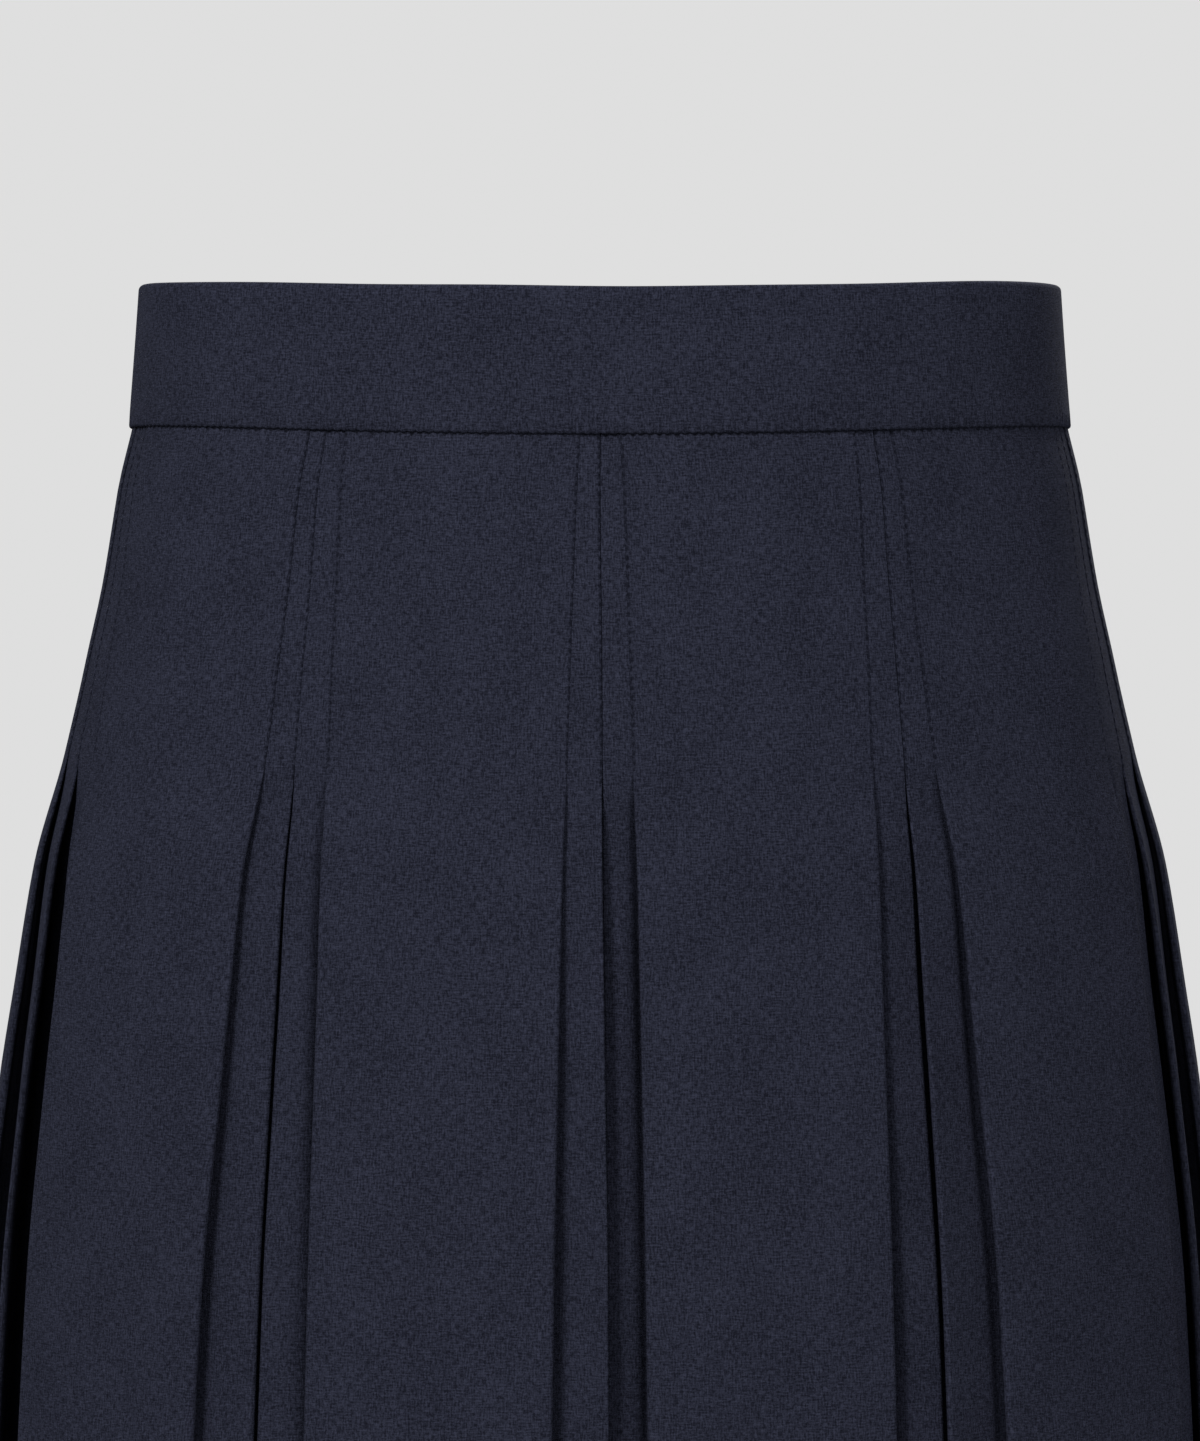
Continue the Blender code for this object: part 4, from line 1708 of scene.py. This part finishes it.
@dataclass(frozen=True)
class Nylon:
    """The coil's drawn nylon: smooth, with a dull gloss that varies a little."""

    name: str
    dark: Colour = (0.0080, 0.0090, 0.0150, 1.0)
    light: Colour = (0.0170, 0.0185, 0.0290, 1.0)

    def build(self) -> bpy.types.Material:
        """Lay the nodes."""
        finish = Finish(self.name)
        cloud = finish.noise(finish.on_object(), 1400.0, 3.0)
        shade = finish.mix(cloud, self.dark, self.light)
        bump = finish.bump(0.3, 0.00003, cloud)
        return finish.surface(
            Base_Color=shade, Roughness=cloud * 0.2 + 0.5, Specular_IOR_Level=0.25, Normal=bump
        )


@dataclass(frozen=True)
class WovenTape:
    """The zip's tape: a tight rib along its length."""

    name: str
    dark: Colour = (0.0075, 0.0085, 0.0150, 1.0)
    light: Colour = (0.0200, 0.0220, 0.0340, 1.0)
    rib: float = 0.8
    pick: float = 0.5

    def build(self) -> bpy.types.Material:
        """Lay the nodes."""
        finish = Finish(self.name)
        _, across, down = finish.on_cut()
        rib = (across * (2 * math.pi / self.rib)).wave() * 0.5 + 0.5
        pick = (down * (2 * math.pi / self.pick)).wave() * 0.5 + 0.5
        weave = rib * 0.7 + pick * 0.3
        shade = finish.mix(weave, self.dark, self.light)
        bump = finish.bump(0.7, 0.00015, weave)
        return finish.surface(
            Base_Color=shade, Roughness=0.95, Specular_IOR_Level=0.08, Normal=bump
        )


@dataclass
class Studio:
    """A plain pale room, soft light from the upper left and the photograph's camera."""

    pale: Colour = (0.737, 0.737, 0.737, 1.0)
    floor_dark: Colour = (0.19, 0.19, 0.19, 1.0)
    floor_light: Colour = (0.205, 0.205, 0.205, 1.0)
    distance: float = 1.7
    pixels_per_mm: float = 3.7125
    frame_width: float = 1200.0
    camera_height: float = -0.0974
    floor_height: float = -0.62

    def build(self) -> None:
        """Set up the room, the lights and the camera."""
        scene = bpy.context.scene
        scene.view_settings.view_transform = "Standard"
        scene.view_settings.look = "None"
        world = bpy.data.worlds.new("pale room")
        scene.world = world
        world.use_nodes = True
        world.node_tree.nodes["Background"].inputs[0].default_value = self.pale
        world.node_tree.nodes["Background"].inputs[1].default_value = 1.0
        self.floor()
        self.light("key", (-1.32, -2.0, 1.75), 0.85, 169.0)
        self.light("front fill", (1.3, -2.3, 0.4), 1.0, 50.0)
        self.light("back", (0.7, 1.8, 1.6), 1.0, 125.0)
        self.camera()

    def floor(self) -> None:
        """A round pale floor below the skirt."""
        bpy.ops.mesh.primitive_circle_add(
            vertices=96, radius=2.3, fill_type="NGON", location=(0.0, 0.0, self.floor_height)
        )
        floor = bpy.context.object
        floor.name = "floor"
        finish = Finish("pale floor")
        cloud = finish.noise(finish.on_object(), 3.0, 4.0)
        shade = finish.mix(cloud, self.floor_dark, self.floor_light)
        floor.data.materials.append(finish.surface(Base_Color=shade, Roughness=0.9))

    def light(
        self, name: str, place: tuple[float, float, float], size: float, watts: float
    ) -> None:
        """A soft square light that faces the skirt.

        Args:
            name: the light's name.
            place: where it stands.
            size: the length of its side.
            watts: its power.
        """
        data = bpy.data.lights.new(name, "AREA")
        data.size = size
        data.energy = watts
        lamp = bpy.data.objects.new(name, data)
        lamp.location = place
        aim = Vector((0.0, 0.0, -0.15)) - Vector(place)
        lamp.rotation_euler = aim.to_track_quat("-Z", "Y").to_euler()
        bpy.context.scene.collection.objects.link(lamp)

    def camera(self) -> None:
        """A level camera in front, at the photograph's scale."""
        data = bpy.data.cameras.new("camera")
        data.sensor_fit = "HORIZONTAL"
        data.sensor_width = 36.0
        focal_pixels = self.pixels_per_mm * self.distance / MM
        data.lens = focal_pixels / self.frame_width * data.sensor_width
        camera = bpy.data.objects.new("camera", data)
        front = (SIZES["front"].at(0.0) + BAND_PROUD + SOLID_CLOTH / 2) * MM
        camera.location = (0.0, -self.distance - front, self.camera_height)
        camera.rotation_euler = (math.pi / 2, 0.0, 0.0)
        bpy.context.scene.collection.objects.link(camera)
        bpy.context.scene.camera = camera


def dress(
    piece: bpy.types.Object, finish: bpy.types.Material, body: str = BODY
) -> None:
    """Give a piece its finish and the body that it moves with.

    Args:
        piece: the piece.
        finish: its material.
        body: the body that it rides on.
    """
    piece.data.materials.clear()
    piece.data.materials.append(finish)
    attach(piece, body)
    LOG.info("%s: %d faces", piece.name, len(piece.data.polygons))


def main() -> None:
    """Build every piece and the studio."""
    logging.basicConfig(level=logging.INFO, format="%(name)s %(message)s")
    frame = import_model()
    wool = WorstedWool("navy worsted").build()
    band_wool = WorstedWool("navy worsted, band", sewn=False).build()
    thread = Thread("navy thread").build()
    enamel = Enamel("navy enamel").build()

    cloth = PleatedCloth()
    left, front, right = cloth.build()
    nodes = ("skirt_back_left", "skirt_front", "skirt_back_right")
    for piece, node in zip((left, front, right), nodes):
        dress(piece, wool)
        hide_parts(node)

    band = Waistband().build()
    dress(band, band_wool)
    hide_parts("waistband")

    for stitches in Sewing(cloth).build():
        dress(stitches, thread)

    tape = ZipTape()
    woven = tape.tape()
    dress(woven, WovenTape("navy tape").build())
    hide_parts("zip_tape")
    dress(tape.coil(), Nylon("navy nylon").build())

    hinge = next(joint for joint in frame["joints"] if joint["name"] == "pull_swing")
    zip_slider = ZipSlider(Vector(hinge["pos_m"]))
    inner_face = (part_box("zip_slider")[0][1] - zip_slider.pin.y) / MM
    slider = zip_slider.slider(inner_face)
    dress(slider, enamel)
    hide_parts("zip_slider")
    pull = zip_slider.pull()
    dress(pull, enamel, PULL_BODY)
    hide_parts("zip_pull")
    dress(zip_slider.stop(tape.stop_place()), enamel)

    Studio().build()


if __name__ == "__main__":
    main()
